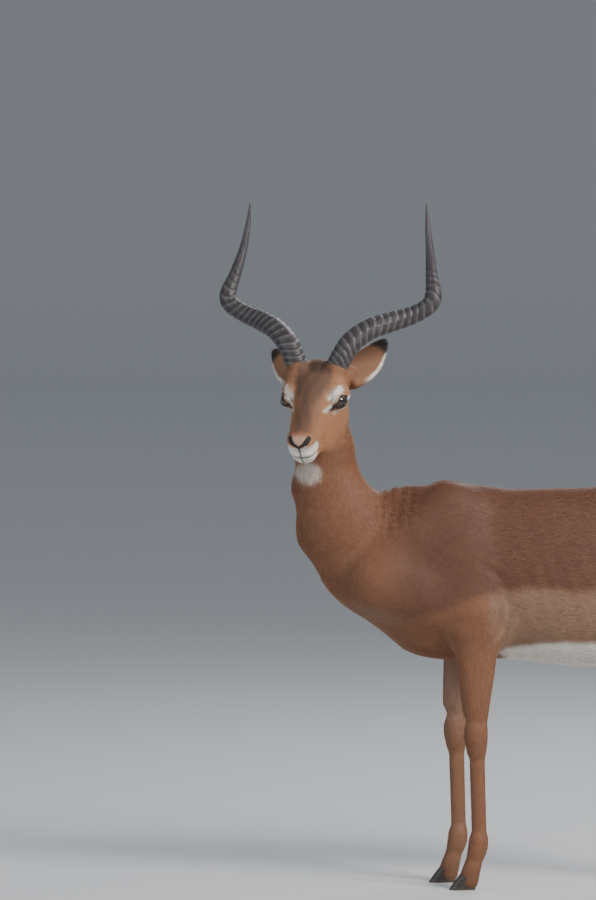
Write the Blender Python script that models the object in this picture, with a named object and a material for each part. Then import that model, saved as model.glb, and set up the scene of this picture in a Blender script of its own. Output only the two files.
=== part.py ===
"""Impala antelope: an adult male standing square, its head turned to look over its left side.

The flesh is one solid, blended from the animal's muscles and bones, then parted with thin cuts.
Metres, +Z up. The animal faces -X, its left side is at -Y and its hooves stand on Z = 0.
"""

import math

import bmesh
import bpy
import numpy as np
import openvdb
from mathutils import Matrix, Vector

# The part's origin is on the floor below the middle of its box. The sizes below are measured from
# the point on the floor below the withers, which lies this far from it.
WITHERS_FROM_MIDDLE = Vector((-0.0889, 0.0479, 0.0))

# Where each foot stands: its place behind the withers, how far each side steps back, and its spread.
FORE_FOOT = 0.033
HIND_FOOT = 0.529
FOOT_SPREAD = 0.0725
FORE_STEP = {"left": 0.0, "right": -0.042}
HIND_STEP = {"left": 0.035, "right": -0.040}
SIDE = {"left": -1.0, "right": 1.0}

# The barrel from front to back: distance behind the withers, top line, belly line and half width.
BARREL = np.array([
    (-0.240, 0.800, 0.680, 0.035),
    (-0.200, 0.845, 0.635, 0.060),
    (-0.150, 0.880, 0.588, 0.078),
    (-0.100, 0.893, 0.548, 0.088),
    (-0.050, 0.895, 0.517, 0.094),
    (0.000, 0.898, 0.504, 0.098),
    (0.045, 0.898, 0.503, 0.102),
    (0.090, 0.893, 0.507, 0.107),
    (0.136, 0.888, 0.507, 0.112),
    (0.200, 0.889, 0.500, 0.117),
    (0.300, 0.891, 0.491, 0.119),
    (0.380, 0.897, 0.500, 0.111),
    (0.450, 0.899, 0.530, 0.098),
    (0.510, 0.884, 0.580, 0.082),
    (0.555, 0.855, 0.640, 0.064),
    (0.590, 0.815, 0.715, 0.035),
])
BARREL_WIDEST = 0.44
BARREL_SQUARENESS = 2.15

# The head: the point between the eyes, how far it turns, nods and leans, and the eyes.
EYE_MIDDLE = np.array([-0.302, -0.105, 1.092])
HEAD_TURN = math.radians(74.0)
HEAD_NOD = math.radians(35.0)
HEAD_LEAN = math.radians(1.5)
EYE_RADIUS = 0.0185
EYE_SPREAD = 0.0560

# A horn's middle line, to the side, behind and above the point between the horns, and its radius.
HORN_LINE = np.array([
    (0.030, 0.012, -0.016, 0.0225),
    (0.048, 0.010, 0.014, 0.0240),
    (0.073, 0.022, 0.058, 0.0240),
    (0.108, 0.046, 0.087, 0.0232),
    (0.148, 0.076, 0.103, 0.0222),
    (0.192, 0.098, 0.118, 0.0200),
    (0.227, 0.106, 0.138, 0.0193),
    (0.237, 0.113, 0.162, 0.0186),
    (0.227, 0.137, 0.206, 0.0134),
    (0.2165, 0.162, 0.258, 0.0092),
    (0.2085, 0.174, 0.312, 0.0058),
    (0.204, 0.178, 0.362, 0.0020),
])
HORN_STATIONS = 24

# Ears: how far each reaches outward, back and up, and the size of the leaf.
EAR_REACH = {"left": (0.060, 0.113, 0.089), "right": (0.098, 0.103, 0.061)}
EAR_LENGTH = 0.158
EAR_HALF_WIDTH = 0.039
EAR_ROOT_DEPTH = 0.017
EAR_THICKNESS = 0.003
EAR_STATIONS = 11
EAR_SOCKET_STATIONS = 5
EAR_SIDES = 7

# Hooves.
CLAW_WIDTH = 0.0185
CLAW_SPLIT = 0.0012
CLAW_TOE = 0.036
CLAW_HEEL = 0.022
CORONET_HEIGHT = 0.030
CORONET_SLOPE = math.radians(14.0)

# Making: the grid the flesh is sampled on, its triangles, and the gaps at cuts and at sockets.
GRID_STEP = 0.006
FLESH_TRIANGLES = 4900
GAP = 0.0003
SOCKET_GAP = 0.0006
FAR = 0.5
TINY = 1e-6

COAT = (0.30, 0.16, 0.095)
HORN = (0.10, 0.085, 0.08)
DARK = (0.02, 0.018, 0.016)


# ---- the flesh as a distance field -----------------------------------------------------------

def bar(start, end, start_size, end_size=None, blend=0.02, side=(0.0, 1.0, 0.0), carve=False):
    """A tapering bar with round ends. A size is its half-width along side, then across it."""
    start = np.asarray(start, float)
    end = np.asarray(end, float)
    sizes = np.array([start_size, end_size or start_size], float)
    length = np.linalg.norm(end - start)
    along = (end - start) / length
    across = np.asarray(side, float)
    across = across - along * across.dot(along)
    across /= np.linalg.norm(across)
    axes = np.stack([across, np.cross(along, across), along])

    def distance(points):
        local = (points - start) @ axes.T
        part = np.clip(local[:, 2] / length, 0.0, 1.0)
        size = sizes[0] + part[:, None] * (sizes[1] - sizes[0])
        cap = size.mean(axis=1)
        local[:, 2] -= part * length
        scaled = local / np.column_stack([size, cap])
        near = np.linalg.norm(scaled, axis=1)
        slope = np.linalg.norm(scaled / np.column_stack([size, cap]), axis=1)
        return (near - 1.0) * (near + TINY) / (slope + TINY / cap)

    reach = sizes.max() + blend + 2.0 * GRID_STEP
    return distance, np.minimum(start, end) - reach, np.maximum(start, end) + reach, blend, carve


def smooth_curve(x, knots, values):
    """A smooth line through the knots, level with its end values outside them."""
    knots = np.asarray(knots, float)
    values = np.asarray(values, float)
    slopes = np.gradient(values, knots)
    x = np.clip(x, knots[0], knots[-1])
    i = np.clip(np.searchsorted(knots, x) - 1, 0, len(knots) - 2)
    width = knots[i + 1] - knots[i]
    t = (x - knots[i]) / width
    rise = values[i + 1] - values[i]
    start_bend = slopes[i] * width - rise
    end_bend = rise - slopes[i + 1] * width
    return values[i] + t * rise + t * (1 - t) * ((1 - t) * start_bend + t * end_bend)


def barrel():
    """The rib cage, belly and croup: egg-shaped sections that follow the top and belly lines."""
    stations, tops, bottoms, half_widths = BARREL.T

    def distance(points):
        x = points[:, 0]
        top = smooth_curve(x, stations, tops)
        bottom = smooth_curve(x, stations, bottoms)
        width = smooth_curve(x, stations, half_widths)
        middle = bottom + BARREL_WIDEST * (top - bottom)
        rise = points[:, 2] - middle
        height = np.where(rise > 0, top - middle, middle - bottom)
        beyond = x - np.clip(x, stations[0], stations[-1])
        local = np.column_stack([points[:, 1], rise, beyond])
        size = np.column_stack([width, height, width])
        scaled = np.abs(local / size) + TINY
        near = (scaled ** BARREL_SQUARENESS).sum(axis=1) ** (1.0 / BARREL_SQUARENESS)
        slope = np.linalg.norm(scaled / size, axis=1) / np.linalg.norm(scaled, axis=1)
        return (near - 1.0) / slope

    reach = 0.05
    low = np.array([stations[0], -half_widths.max(), bottoms.min()]) - reach
    high = np.array([stations[-1], half_widths.max(), tops.max()]) + reach
    return distance, low, high, 0.03, False


def fore_forms(name):
    """One foreleg with its shoulder, from the top of the blade to the coronet."""
    out = SIDE[name]
    step = FORE_STEP[name]
    lean = 0.35 * step
    blade = np.array([0.005, out * 0.045, 0.845])
    shoulder = np.array([-0.158, out * 0.075, 0.684])
    elbow = np.array([0.066 + lean, out * 0.086, 0.605])
    knee = np.array([0.056 + step, out * 0.078, 0.338])
    fetlock = np.array([0.062 + step, out * 0.073, 0.098])
    coronet = np.array([0.040 + step, out * 0.072, 0.020])
    triceps = (np.array([0.010, out * 0.072, 0.780]), elbow + (-0.008, 0, 0.040))
    return [
        bar(blade, shoulder, (0.030, 0.062), (0.036, 0.060), 0.045),
        bar(shoulder, elbow, (0.034, 0.056), (0.028, 0.044), 0.045),
        bar(*triceps, (0.026, 0.055), (0.028, 0.052), 0.035),
        bar(elbow + (0.027, 0, 0.017), elbow + (0.020, 0, -0.020), (0.017, 0.017), None, 0.03),
        bar(elbow, knee, (0.034, 0.050), (0.019, 0.021), 0.035),
        bar(elbow + (-0.030, 0, -0.040), knee + (-0.012, 0, 0.072), (0.028, 0.030), (0.014, 0.012), 0.03),
        bar(knee + (0, 0, 0.014), knee + (0.002, 0, -0.020), (0.0205, 0.0235), (0.0195, 0.021), 0.015),
        bar(knee, fetlock, (0.0145, 0.0165), (0.0135, 0.0150), 0.02),
        bar(knee + (0.010, 0, -0.038), fetlock + (0.010, 0, 0.022), (0.009, 0.008), None, 0.012),
        bar(fetlock + (0, 0, 0.010), fetlock + (-0.002, 0, -0.010), (0.019, 0.0195), (0.019, 0.0185), 0.015),
        bar(fetlock, coronet, (0.0165, 0.0165), (0.0215, 0.0235), 0.015),
    ]


def hind_forms(name):
    """One hind leg, from the hip and buttock to the coronet."""
    out = SIDE[name]
    step = HIND_STEP[name]
    lean = 0.3 * step
    hip = np.array([0.455, out * 0.070, 0.770])
    hip_bone = (np.array([0.404, out * 0.070, 0.838]), np.array([0.470, out * 0.056, 0.832]))
    stifle = np.array([0.385 + lean, out * 0.086, 0.590])
    hock = np.array([0.568 + step, out * 0.078, 0.388])
    heel = hock + (0.030, 0, 0.034)
    fetlock = np.array([0.560 + step, out * 0.074, 0.112])
    coronet = np.array([0.536 + step, out * 0.073, 0.020])
    buttock = np.array([0.560, out * 0.048, 0.775])
    back_thigh = np.array([0.505 + lean, out * 0.070, 0.585])
    gaskin = np.array([0.470 + lean, out * 0.078, 0.530])
    return [
        bar(hip, stifle, (0.046, 0.092), (0.038, 0.060), 0.04),
        bar(buttock, back_thigh, (0.045, 0.058), (0.034, 0.048), 0.04),
        bar(*hip_bone, (0.022, 0.022), (0.03, 0.03), 0.06),
        bar(stifle, hock, (0.036, 0.050), (0.019, 0.024), 0.04),
        bar(back_thigh, heel, (0.024, 0.036), (0.010, 0.010), 0.03),
        bar(gaskin, hock + (0.014, 0, 0.037), (0.017, 0.036), (0.010, 0.016), 0.03),
        bar(heel, hock + (0.006, 0, -0.023), (0.0125, 0.012), (0.016, 0.020), 0.015),
        bar(hock + (-0.004, 0, 0.012), hock + (-0.002, 0, -0.036), (0.0195, 0.022), (0.0165, 0.019), 0.015),
        bar(hock + (0, 0, -0.018), fetlock, (0.0150, 0.0185), (0.0135, 0.0155), 0.02),
        bar(hock + (0.012, 0, -0.048), fetlock + (0.011, 0, 0.023), (0.009, 0.008), None, 0.012),
        bar(fetlock + (0, 0, 0.010), fetlock + (-0.002, 0, -0.010), (0.019, 0.0200), (0.019, 0.019), 0.015),
        bar(fetlock, coronet, (0.0165, 0.0165), (0.0215, 0.0235), 0.015),
    ]


def neck_forms():
    """The neck, from the chest to behind the jaw, and the breast below it."""
    base = (-0.165, 0.0, 0.715)
    lower = (-0.243, 0.0, 0.810)
    middle = (-0.274, 0.0, 0.895)
    upper = (-0.278, -0.008, 0.975)
    poll = (-0.281, -0.032, 1.075)
    return [
        bar(base, lower, (0.086, 0.107), (0.070, 0.100), 0.035),
        bar(lower, middle, (0.070, 0.098), (0.057, 0.074), 0.03),
        bar(middle, upper, (0.056, 0.074), (0.051, 0.061), 0.03),
        bar(upper, poll, (0.051, 0.060), (0.046, 0.046), 0.03),
        bar((-0.215, 0.0, 0.690), (-0.070, 0.0, 0.590), (0.066, 0.050), (0.064, 0.066), 0.045),
    ]


HEAD_AXES = (
    Matrix.Rotation(HEAD_TURN, 3, "Z")
    @ Matrix.Rotation(-HEAD_NOD, 3, "Y")
    @ Matrix.Rotation(HEAD_LEAN, 3, "X")
)


def head_point(forward, left, up):
    """A point of the head, from the middle between the eyes: forward, to its left, and up."""
    return EYE_MIDDLE + np.array(HEAD_AXES @ Vector((-forward, -left, up)))


def turned(left, back, up):
    """A step in the directions of the turned head, but level."""
    return np.array([
        left * math.sin(HEAD_TURN) + back * math.cos(HEAD_TURN),
        -left * math.cos(HEAD_TURN) + back * math.sin(HEAD_TURN),
        up,
    ])


def head_forms():
    """The skull and its muscles, the muzzle and the lower jaw."""
    sideways = np.array(HEAD_AXES @ Vector((0.0, 1.0, 0.0)))

    def piece(start, end, start_size, end_size=None, blend=0.02):
        return bar(head_point(*start), head_point(*end), start_size, end_size, blend, sideways)

    forms = [
        piece((-0.078, 0, -0.006), (-0.020, 0, 0.008), (0.047, 0.045), (0.056, 0.038)),
        piece((-0.055, 0, 0.026), (0.030, 0, 0.010), (0.044, 0.030), (0.036, 0.027)),
        piece((0.020, 0, 0.006), (0.125, 0, -0.008), (0.031, 0.027), (0.022, 0.019)),
        piece((0.020, 0, -0.020), (0.124, 0, -0.025), (0.046, 0.032), (0.0345, 0.026)),
        piece((0.128, 0, -0.010), (0.138, 0, -0.010), (0.031, 0.019), (0.030, 0.020), 0.012),
        piece((0.110, 0, -0.034), (0.136, 0, -0.036), (0.032, 0.016), (0.029, 0.014), 0.012),
        piece((-0.040, 0, -0.078), (0.128, 0, -0.060), (0.044, 0.034), (0.025, 0.0165)),
        piece((-0.085, 0, -0.040), (-0.030, 0, -0.034), (0.036, 0.040), (0.046, 0.038), 0.03),
    ]
    for side in (-1, 1):
        forms += [
            piece((-0.045, side * 0.034, -0.055), (0.062, side * 0.031, -0.063),
                  (0.021, 0.051), (0.018, 0.037)),
            piece((-0.010, side * 0.051, 0.002), (0.000, side * 0.049, 0.002), (0.0165, 0.0225), None, 0.015),
            piece((-0.036, side * 0.050, 0.002), (-0.0215, side * 0.063, 0.001),
                  (0.014, 0.018), (0.0135, 0.0175), 0.018),
            piece((-0.028, side * 0.052, 0.025), (0.006, side * 0.050, 0.025), (0.012, 0.009), None, 0.015),
            piece((-0.046, side * 0.040, 0.032), (-0.050, side * 0.043, 0.040), (0.026, 0.026), None, 0.015),
            piece((-0.085, side * 0.034, -0.010), (-0.103, side * 0.056, -0.010),
                  (0.024, 0.028), (0.020, 0.026)),
        ]
    return forms


def tail_forms():
    """The tail, hanging against the buttocks."""
    root = (0.575, 0.0, 0.842)
    bend = (0.652, 0.0, 0.803)
    middle = (0.674, 0.0, 0.690)
    tip = (0.672, 0.0, 0.555)
    return [
        bar(root, bend, (0.024, 0.020), (0.020, 0.013), 0.02),
        bar(bend, middle, (0.020, 0.013), (0.024, 0.014), 0.01),
        bar(middle, tip, (0.024, 0.014), (0.013, 0.009), 0.01),
    ]


FORMS = [barrel()] + neck_forms() + head_forms() + tail_forms()
for name in SIDE:
    FORMS += fore_forms(name) + hind_forms(name)


def blended(field, distance, blend, carve):
    """Joins a form to the field, or carves it away, with a soft seam as wide as blend."""
    sign = -1.0 if carve else 1.0
    field = sign * field
    overlap = np.clip(blend - np.abs(field - distance), 0.0, None) / blend
    return sign * (np.minimum(field, distance) - overlap * overlap * blend / 4.0)


def flesh_at(points):
    """The distance of each point from the coat's outer surface, below zero inside it."""
    field = np.full(len(points), FAR)
    for distance, low, high, blend, carve in FORMS:
        near = np.all((points > low) & (points < high), axis=1)
        field[near] = blended(field[near], distance(points[near]), blend, carve)
    return field


def flesh_on_grid(axes):
    """The same field on a grid of points."""
    field = np.full([len(axis) for axis in axes], FAR)
    for distance, low, high, blend, carve in FORMS:
        spans = [slice(*np.searchsorted(axes[i], (low[i], high[i]))) for i in range(3)]
        parts = [axes[i][spans[i]] for i in range(3)]
        block = np.stack(np.meshgrid(*parts, indexing="ij"), axis=-1)
        values = distance(block.reshape(-1, 3)).reshape(block.shape[:3])
        field[tuple(spans)] = blended(field[tuple(spans)], values, blend, carve)
    return field


def settle(points, rounds=3):
    """Moves points near the surface onto it."""
    nudge = 0.0005
    for _ in range(rounds):
        slope = np.column_stack(
            [flesh_at(points + offset) - flesh_at(points - offset) for offset in nudge * np.eye(3)]
        ) / (2.0 * nudge)
        steep = np.maximum((slope * slope).sum(axis=1), 0.25)
        points = points - slope * (flesh_at(points) / steep)[:, None]
    return points


def flesh_mesh():
    """The whole flesh as one closed mesh of even squares."""
    low = np.min([form[1] for form in FORMS], axis=0)
    high = np.max([form[2] for form in FORMS], axis=0)
    axes = [np.arange(low[i], high[i], GRID_STEP) for i in range(3)]
    level = openvdb.FloatGrid(FAR)
    level.copyFromArray(flesh_on_grid(axes))
    points, quads = level.convertToQuads(isovalue=0.0)
    points = settle(points * GRID_STEP + low)
    mesh = bpy.data.meshes.new("flesh")
    mesh.from_pydata(points.tolist(), [], quads.tolist())
    return mesh


# ---- making and joining the pieces -----------------------------------------------------------

def new_collection(name):
    collection = bpy.data.collections.new(name)
    bpy.context.scene.collection.children.link(collection)
    return collection


def add_object(name, mesh, collection):
    made = bpy.data.objects.new(name, mesh)
    collection.objects.link(made)
    return made


def evaluated(made):
    """The object's mesh with its modifiers applied."""
    bpy.context.view_layer.update()
    graph = bpy.context.evaluated_depsgraph_get()
    return bpy.data.meshes.new_from_object(made.evaluated_get(graph))


def finish(made, colour, roughness):
    """Shades a piece smooth and gives it a material of its own."""
    material = bpy.data.materials.new(made.name)
    material.use_nodes = True
    shader = material.node_tree.nodes["Principled BSDF"]
    shader.inputs["Base Color"].default_value = (*colour, 1.0)
    shader.inputs["Roughness"].default_value = roughness
    made.data.materials.clear()
    made.data.materials.append(material)
    made.data.shade_smooth()
    made.data.set_sharp_from_angle(angle=math.radians(50.0))


def lofted(name, rings):
    """A closed mesh of triangles through rings of equal length, with its two ends filled."""
    form = bmesh.new()
    loops = [[form.verts.new(point) for point in ring] for ring in rings]
    count = len(loops[0])
    for lower, upper in zip(loops, loops[1:]):
        for i in range(count):
            j = (i + 1) % count
            form.faces.new((lower[i], lower[j], upper[j], upper[i]))
    form.faces.new(loops[0][::-1])
    form.faces.new(loops[-1])
    bmesh.ops.recalc_face_normals(form, faces=form.faces)
    bmesh.ops.triangulate(form, faces=form.faces, quad_method="FIXED")
    mesh = bpy.data.meshes.new(name)
    form.to_mesh(mesh)
    form.free()
    return mesh


def add_cutter(name, mesh):
    """A shape that is only cut away from others."""
    made = add_object(name, mesh, cutters)
    made.hide_render = True
    made.display_type = "WIRE"
    return made


def cut_away(made, cutter):
    cut = made.modifiers.new(cutter.name, "BOOLEAN")
    cut.operation = "DIFFERENCE"
    cut.solver = "EXACT"
    cut.object = cutter


def socket_for(made):
    """A cutter a little larger than a piece, for the socket it sits in."""
    cutter = add_cutter(made.name + "_socket", made.data.copy())
    grow = cutter.modifiers.new("gap", "DISPLACE")
    grow.strength = SOCKET_GAP
    grow.mid_level = 0.0
    grown = evaluated(cutter)
    cutter.modifiers.clear()
    cutter.data = grown
    return cutter


def slab(name, centre, normal, across, size, thickness=GAP):
    """A flat box that cuts the flesh: its normal, its long direction and its two side lengths."""
    normal = Vector(normal).normalized()
    across = Vector(across)
    across = (across - normal * across.dot(normal)).normalized()
    form = bmesh.new()
    bmesh.ops.create_cube(form, size=1.0)
    turn = Matrix((across, normal.cross(across), normal)).transposed().to_4x4()
    scale = Matrix.Diagonal((size[0], size[1], thickness, 1.0))
    form.transform(Matrix.Translation(centre) @ turn @ scale)
    mesh = bpy.data.meshes.new(name)
    form.to_mesh(mesh)
    form.free()
    return add_cutter(name, mesh)


# ---- parting the flesh -----------------------------------------------------------------------

def part_flesh():
    """Cuts the flesh into head, neck, trunk, tail and legs, and names each piece."""
    whole = add_object("flesh", flesh_mesh(), parts)
    fewer = whole.modifiers.new("fewer", "DECIMATE")
    fewer.ratio = FLESH_TRIANGLES / (2.0 * len(whole.data.polygons))
    fewer.use_collapse_triangulate = True
    inside = {
        "head": head_point(0.0, 0.0, 0.0),
        "neck": (-0.265, 0.0, 0.930),
        "trunk": (0.200, 0.0, 0.700),
        "tail": (0.660, 0.0, 0.650),
    }
    head_seam = EYE_MIDDLE + turned(0.0, 0.075, -0.085)
    cut_away(whole, slab("head_cut", head_seam, turned(0.0, -0.735, 0.678), turned(1, 0, 0), (0.20, 0.27)))
    cut_away(whole, slab("neck_cut", (-0.225, 0.0, 0.795), (-0.78, 0.0, 0.63), (0, 1, 0), (0.30, 0.40)))
    cut_away(whole, slab("tail_cut", (0.634, 0.0, 0.818), (1, 0, 0), (0, 1, 0), (0.090, 0.086)))
    for name, out in SIDE.items():
        elbow_tilt = (0, -out * 0.57, 0.82)
        stifle_tilt = (-0.41, -out * 0.57, 0.82)
        elbow = (0.055, out * 0.085, 0.540)
        stifle = (0.470, out * 0.084, 0.588)
        knee = (0.056 + FORE_STEP[name], out * 0.078, 0.334)
        hock = (0.568 + HIND_STEP[name], out * 0.078, 0.376)
        cut_away(whole, slab("elbow_cut_" + name, elbow, elbow_tilt, (1, 0, 0), (0.24, 0.155)))
        cut_away(whole, slab("knee_cut_" + name, knee, (0, 0, 1), (1, 0, 0), (0.09, 0.09)))
        cut_away(whole, slab("stifle_cut_" + name, stifle, stifle_tilt, (1, 0, 0), (0.36, 0.205)))
        cut_away(whole, slab("hock_cut_" + name, hock, (0, 0, 1), (1, 0, 0), (0.11, 0.09)))
        inside["foreleg_upper_" + name] = (0.055 + FORE_STEP[name], out * 0.082, 0.430)
        inside["foreleg_lower_" + name] = (0.060 + FORE_STEP[name], out * 0.073, 0.200)
        inside["hindleg_upper_" + name] = (0.450 + HIND_STEP[name], out * 0.085, 0.500)
        inside["hindleg_lower_" + name] = (0.565 + HIND_STEP[name], out * 0.075, 0.230)
    whole.data = evaluated(whole)
    whole.modifiers.clear()
    bpy.context.view_layer.objects.active = whole
    whole.select_set(True)
    bpy.ops.object.mode_set(mode="EDIT")
    bpy.ops.mesh.select_all(action="SELECT")
    bpy.ops.mesh.separate(type="LOOSE")
    bpy.ops.object.mode_set(mode="OBJECT")
    named = {}
    for piece in list(parts.objects):
        corners = np.array([vertex.co for vertex in piece.data.vertices])
        centre = corners.mean(axis=0)
        name = min(inside, key=lambda key: np.linalg.norm(centre - inside[key]))
        piece.name = name
        named[name] = piece
    return named


# ---- horns, ears, eyes and hooves ------------------------------------------------------------

def add_horn(name):
    """A lyre-shaped horn: a tapering tube along its middle line."""
    side = -SIDE[name]
    seat = head_point(-0.046, 0.0, 0.046)
    knots = np.linspace(0.0, 1.0, len(HORN_LINE))
    stations = np.linspace(0.0, 1.0, HORN_STATIONS)
    line = np.array([seat + turned(side * left, back, up) for left, back, up, radius in HORN_LINE])
    track = np.column_stack([smooth_curve(stations, knots, line[:, i]) for i in range(3)])
    curve = bpy.data.curves.new("horn", "CURVE")
    curve.dimensions = "3D"
    curve.bevel_depth = 1.0
    curve.bevel_resolution = 2
    curve.use_fill_caps = True
    spline = curve.splines.new("POLY")
    spline.points.add(HORN_STATIONS - 1)
    for point, place, radius in zip(spline.points, track, smooth_curve(stations, knots, HORN_LINE[:, 3])):
        point.co = (*place, 1.0)
        point.radius = radius
    tube = add_object("tube", curve, parts)
    mesh = evaluated(tube)
    bpy.data.objects.remove(tube)
    form = bmesh.new()
    form.from_mesh(mesh)
    bmesh.ops.remove_doubles(form, verts=form.verts, dist=0.00005)
    form.to_mesh(mesh)
    form.free()
    return add_object("horn_" + name, mesh, parts)


def ear_rings(name, stations, grow=0.0):
    """Sections of an ear from its solid round root to its tip. A grown ear is solid throughout."""
    side = -SIDE[name]
    root = head_point(-0.090, side * 0.048, -0.021)
    outward, back, up = EAR_REACH[name]
    along = turned(side * outward, back, up)
    along /= np.linalg.norm(along)
    opening = turned(-side * 0.30, 0.60, -0.70)
    opening -= along * opening.dot(along)
    opening /= np.linalg.norm(opening)
    across = np.cross(opening, along)
    rings = []
    for part in np.linspace(0.0, 1.0, EAR_STATIONS)[:stations]:
        width = EAR_HALF_WIDTH * (0.64 + 0.36 * math.sin(math.pi * min(part / 0.9, 1.0) ** 0.85))
        width = width * math.sqrt(1.0 - part ** 3.2) + 0.002 + grow
        depth = EAR_ROOT_DEPTH * (1.0 - part) + 0.004 + grow
        hollow = 0.0 if grow else min(max((part - 0.16) / 0.18, 0.0), 1.0)
        inner = depth * (1.0 - 2.0 * hollow) + hollow * EAR_THICKNESS
        centre = root + along * part * EAR_LENGTH + opening * 0.006 * math.sin(math.pi * part)
        if grow and part == 0.0:
            centre = centre - along * grow
        ring = []
        for angle in np.linspace(0.0, math.pi, EAR_SIDES):
            ring.append(centre + across * width * math.cos(angle) - opening * depth * math.sin(angle))
        for angle in np.linspace(math.pi, 0.0, EAR_SIDES)[1:-1]:
            ring.append(centre + across * width * 0.96 * math.cos(angle) + opening * inner * math.sin(angle))
        rings.append(ring)
    return rings


def add_ear(name):
    """A leaf-shaped ear, a cup that opens forward and outward."""
    return add_object("ear_" + name, lofted("ear", ear_rings(name, EAR_STATIONS)), parts)


def ear_socket(name):
    """The ear's root, a little larger and solid."""
    rings = ear_rings(name, EAR_SOCKET_STATIONS, SOCKET_GAP)
    return add_cutter("ear_%s_socket" % name, lofted("socket", rings))


def add_eye(name):
    form = bmesh.new()
    bmesh.ops.create_uvsphere(form, u_segments=12, v_segments=8, radius=EYE_RADIUS)
    mesh = bpy.data.meshes.new("eye")
    form.to_mesh(mesh)
    form.free()
    place = head_point(0.006, -SIDE[name] * EYE_SPREAD, 0.001)
    mesh.transform(Matrix.Translation(place) @ HEAD_AXES.to_4x4())
    return add_object("eye_" + name, mesh, parts)


def add_claw(name, foot, toe_side):
    """Half of a cloven hoof: flat below, its wall sloping back to the sloping coronet."""
    rings = []
    for part in (0.0, 0.12, 0.55, 1.0):
        toe = -CLAW_TOE + 0.024 * part
        heel = CLAW_HEEL + 0.007 * part
        width = CLAW_WIDTH * (0.95 if part == 0.0 else 1.0 - 0.02 * part)
        outer = []
        inner = []
        for turn in np.linspace(0.0, math.pi, 8):
            along = 0.5 * (1.0 - math.cos(turn))
            x = toe + (heel - toe) * along
            bulge = max(math.sin(math.pi * along ** 0.62), 0.0) ** 0.62
            y = CLAW_SPLIT / 2 + width * (0.22 + 0.78 * bulge)
            z = part * (CORONET_HEIGHT - math.tan(CORONET_SLOPE) * x)
            outer.append(foot + Vector((x, toe_side * y, z)))
            inner.append(foot + Vector((x, toe_side * CLAW_SPLIT / 2, z)))
        rings.append(outer + inner[-2:0:-1])
    return add_object(name, lofted("claw", rings), parts)


def add_hoof(leg, name, middle):
    """Cuts a leg off along its coronet and puts the two claws of its hoof below the cut."""
    foot = Vector((middle, SIDE[name] * FOOT_SPREAD, 0.0))
    slope = Vector((math.sin(CORONET_SLOPE), 0.0, math.cos(CORONET_SLOPE)))
    depth = 2.0 * CORONET_HEIGHT
    centre = foot + Vector((0.0, 0.0, CORONET_HEIGHT + GAP)) - slope * depth / 2
    cutter = slab("coronet_cut_%s_%s" % (leg, name), centre, slope, (1, 0, 0), (0.12, 0.10), depth)
    cut_away(pieces["%sleg_lower_%s" % (leg, name)], cutter)
    for toe, toe_side in (("inner", -SIDE[name]), ("outer", SIDE[name])):
        finish(add_claw("hoof_%s_%s_%s" % (leg, name, toe), foot, toe_side), DARK, 0.45)


for old in list(bpy.data.objects):
    bpy.data.objects.remove(old)
parts = new_collection("impala")
cutters = new_collection("cutters")

pieces = part_flesh()
for name in SIDE:
    horn = add_horn(name)
    ear = add_ear(name)
    eye = add_eye(name)
    for cutter in (socket_for(horn), ear_socket(name), socket_for(eye)):
        cut_away(pieces["head"], cutter)
    finish(horn, HORN, 0.55)
    finish(ear, COAT, 0.8)
    finish(eye, DARK, 0.1)
    add_hoof("fore", name, FORE_FOOT + FORE_STEP[name])
    add_hoof("hind", name, HIND_FOOT + HIND_STEP[name])
for piece in pieces.values():
    finish(piece, COAT, 0.8)

withers = bpy.data.objects.new("withers", None)
parts.objects.link(withers)
withers.location = WITHERS_FROM_MIDDLE
for member in list(parts.objects) + list(cutters.objects):
    if member != withers:
        member.parent = withers
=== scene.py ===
"""An adult male impala: skin, coat, horns, eyes and hooves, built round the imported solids.

Metres, +Z up. The animal faces -X with its left side towards -Y. Its own measurements run from
the point on the floor below the withers.
"""

import math

import bmesh
import bpy
import numpy as np
import openvdb
from mathutils import Matrix, Vector


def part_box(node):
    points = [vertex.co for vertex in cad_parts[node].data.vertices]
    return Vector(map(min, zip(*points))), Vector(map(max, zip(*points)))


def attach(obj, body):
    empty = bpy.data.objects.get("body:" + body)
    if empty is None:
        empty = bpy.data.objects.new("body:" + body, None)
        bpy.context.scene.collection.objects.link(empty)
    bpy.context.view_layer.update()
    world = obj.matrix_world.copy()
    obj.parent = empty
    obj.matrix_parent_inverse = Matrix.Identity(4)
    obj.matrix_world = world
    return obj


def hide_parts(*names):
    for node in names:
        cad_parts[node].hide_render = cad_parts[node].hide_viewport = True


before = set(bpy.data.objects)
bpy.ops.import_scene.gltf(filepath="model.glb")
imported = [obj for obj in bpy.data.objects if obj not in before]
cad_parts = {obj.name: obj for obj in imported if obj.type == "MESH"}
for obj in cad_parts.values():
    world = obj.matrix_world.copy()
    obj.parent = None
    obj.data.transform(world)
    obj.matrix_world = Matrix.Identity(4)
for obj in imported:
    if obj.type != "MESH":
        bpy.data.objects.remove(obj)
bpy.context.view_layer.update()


# ---- Studio -------------------------------------------------------------------------------------
# A sheet of pale paper that curves up behind the animal, three large soft boxes and a weak sky.
# A long lens looks at the head, neck and fore body from the animal's left.

FORE_FOOT = 0.033
CLAW_TOE = 0.036
left_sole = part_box("hoof_fore_left_outer")
right_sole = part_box("hoof_fore_right_outer")
WITHERS = Vector((
    left_sole[0][0] - (FORE_FOOT - CLAW_TOE),
    (left_sole[0][1] + right_sole[1][1]) / 2.0,
    0.0,
))
VIEW_MIDDLE = WITHERS + Vector((-0.338, 0.0, 0.973))
VIEW_DISTANCE = 15.0
VIEW_ELEVATION = math.radians(3.0)
VIEW_HEIGHT = 2.0
SENSOR = 0.036


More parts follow.
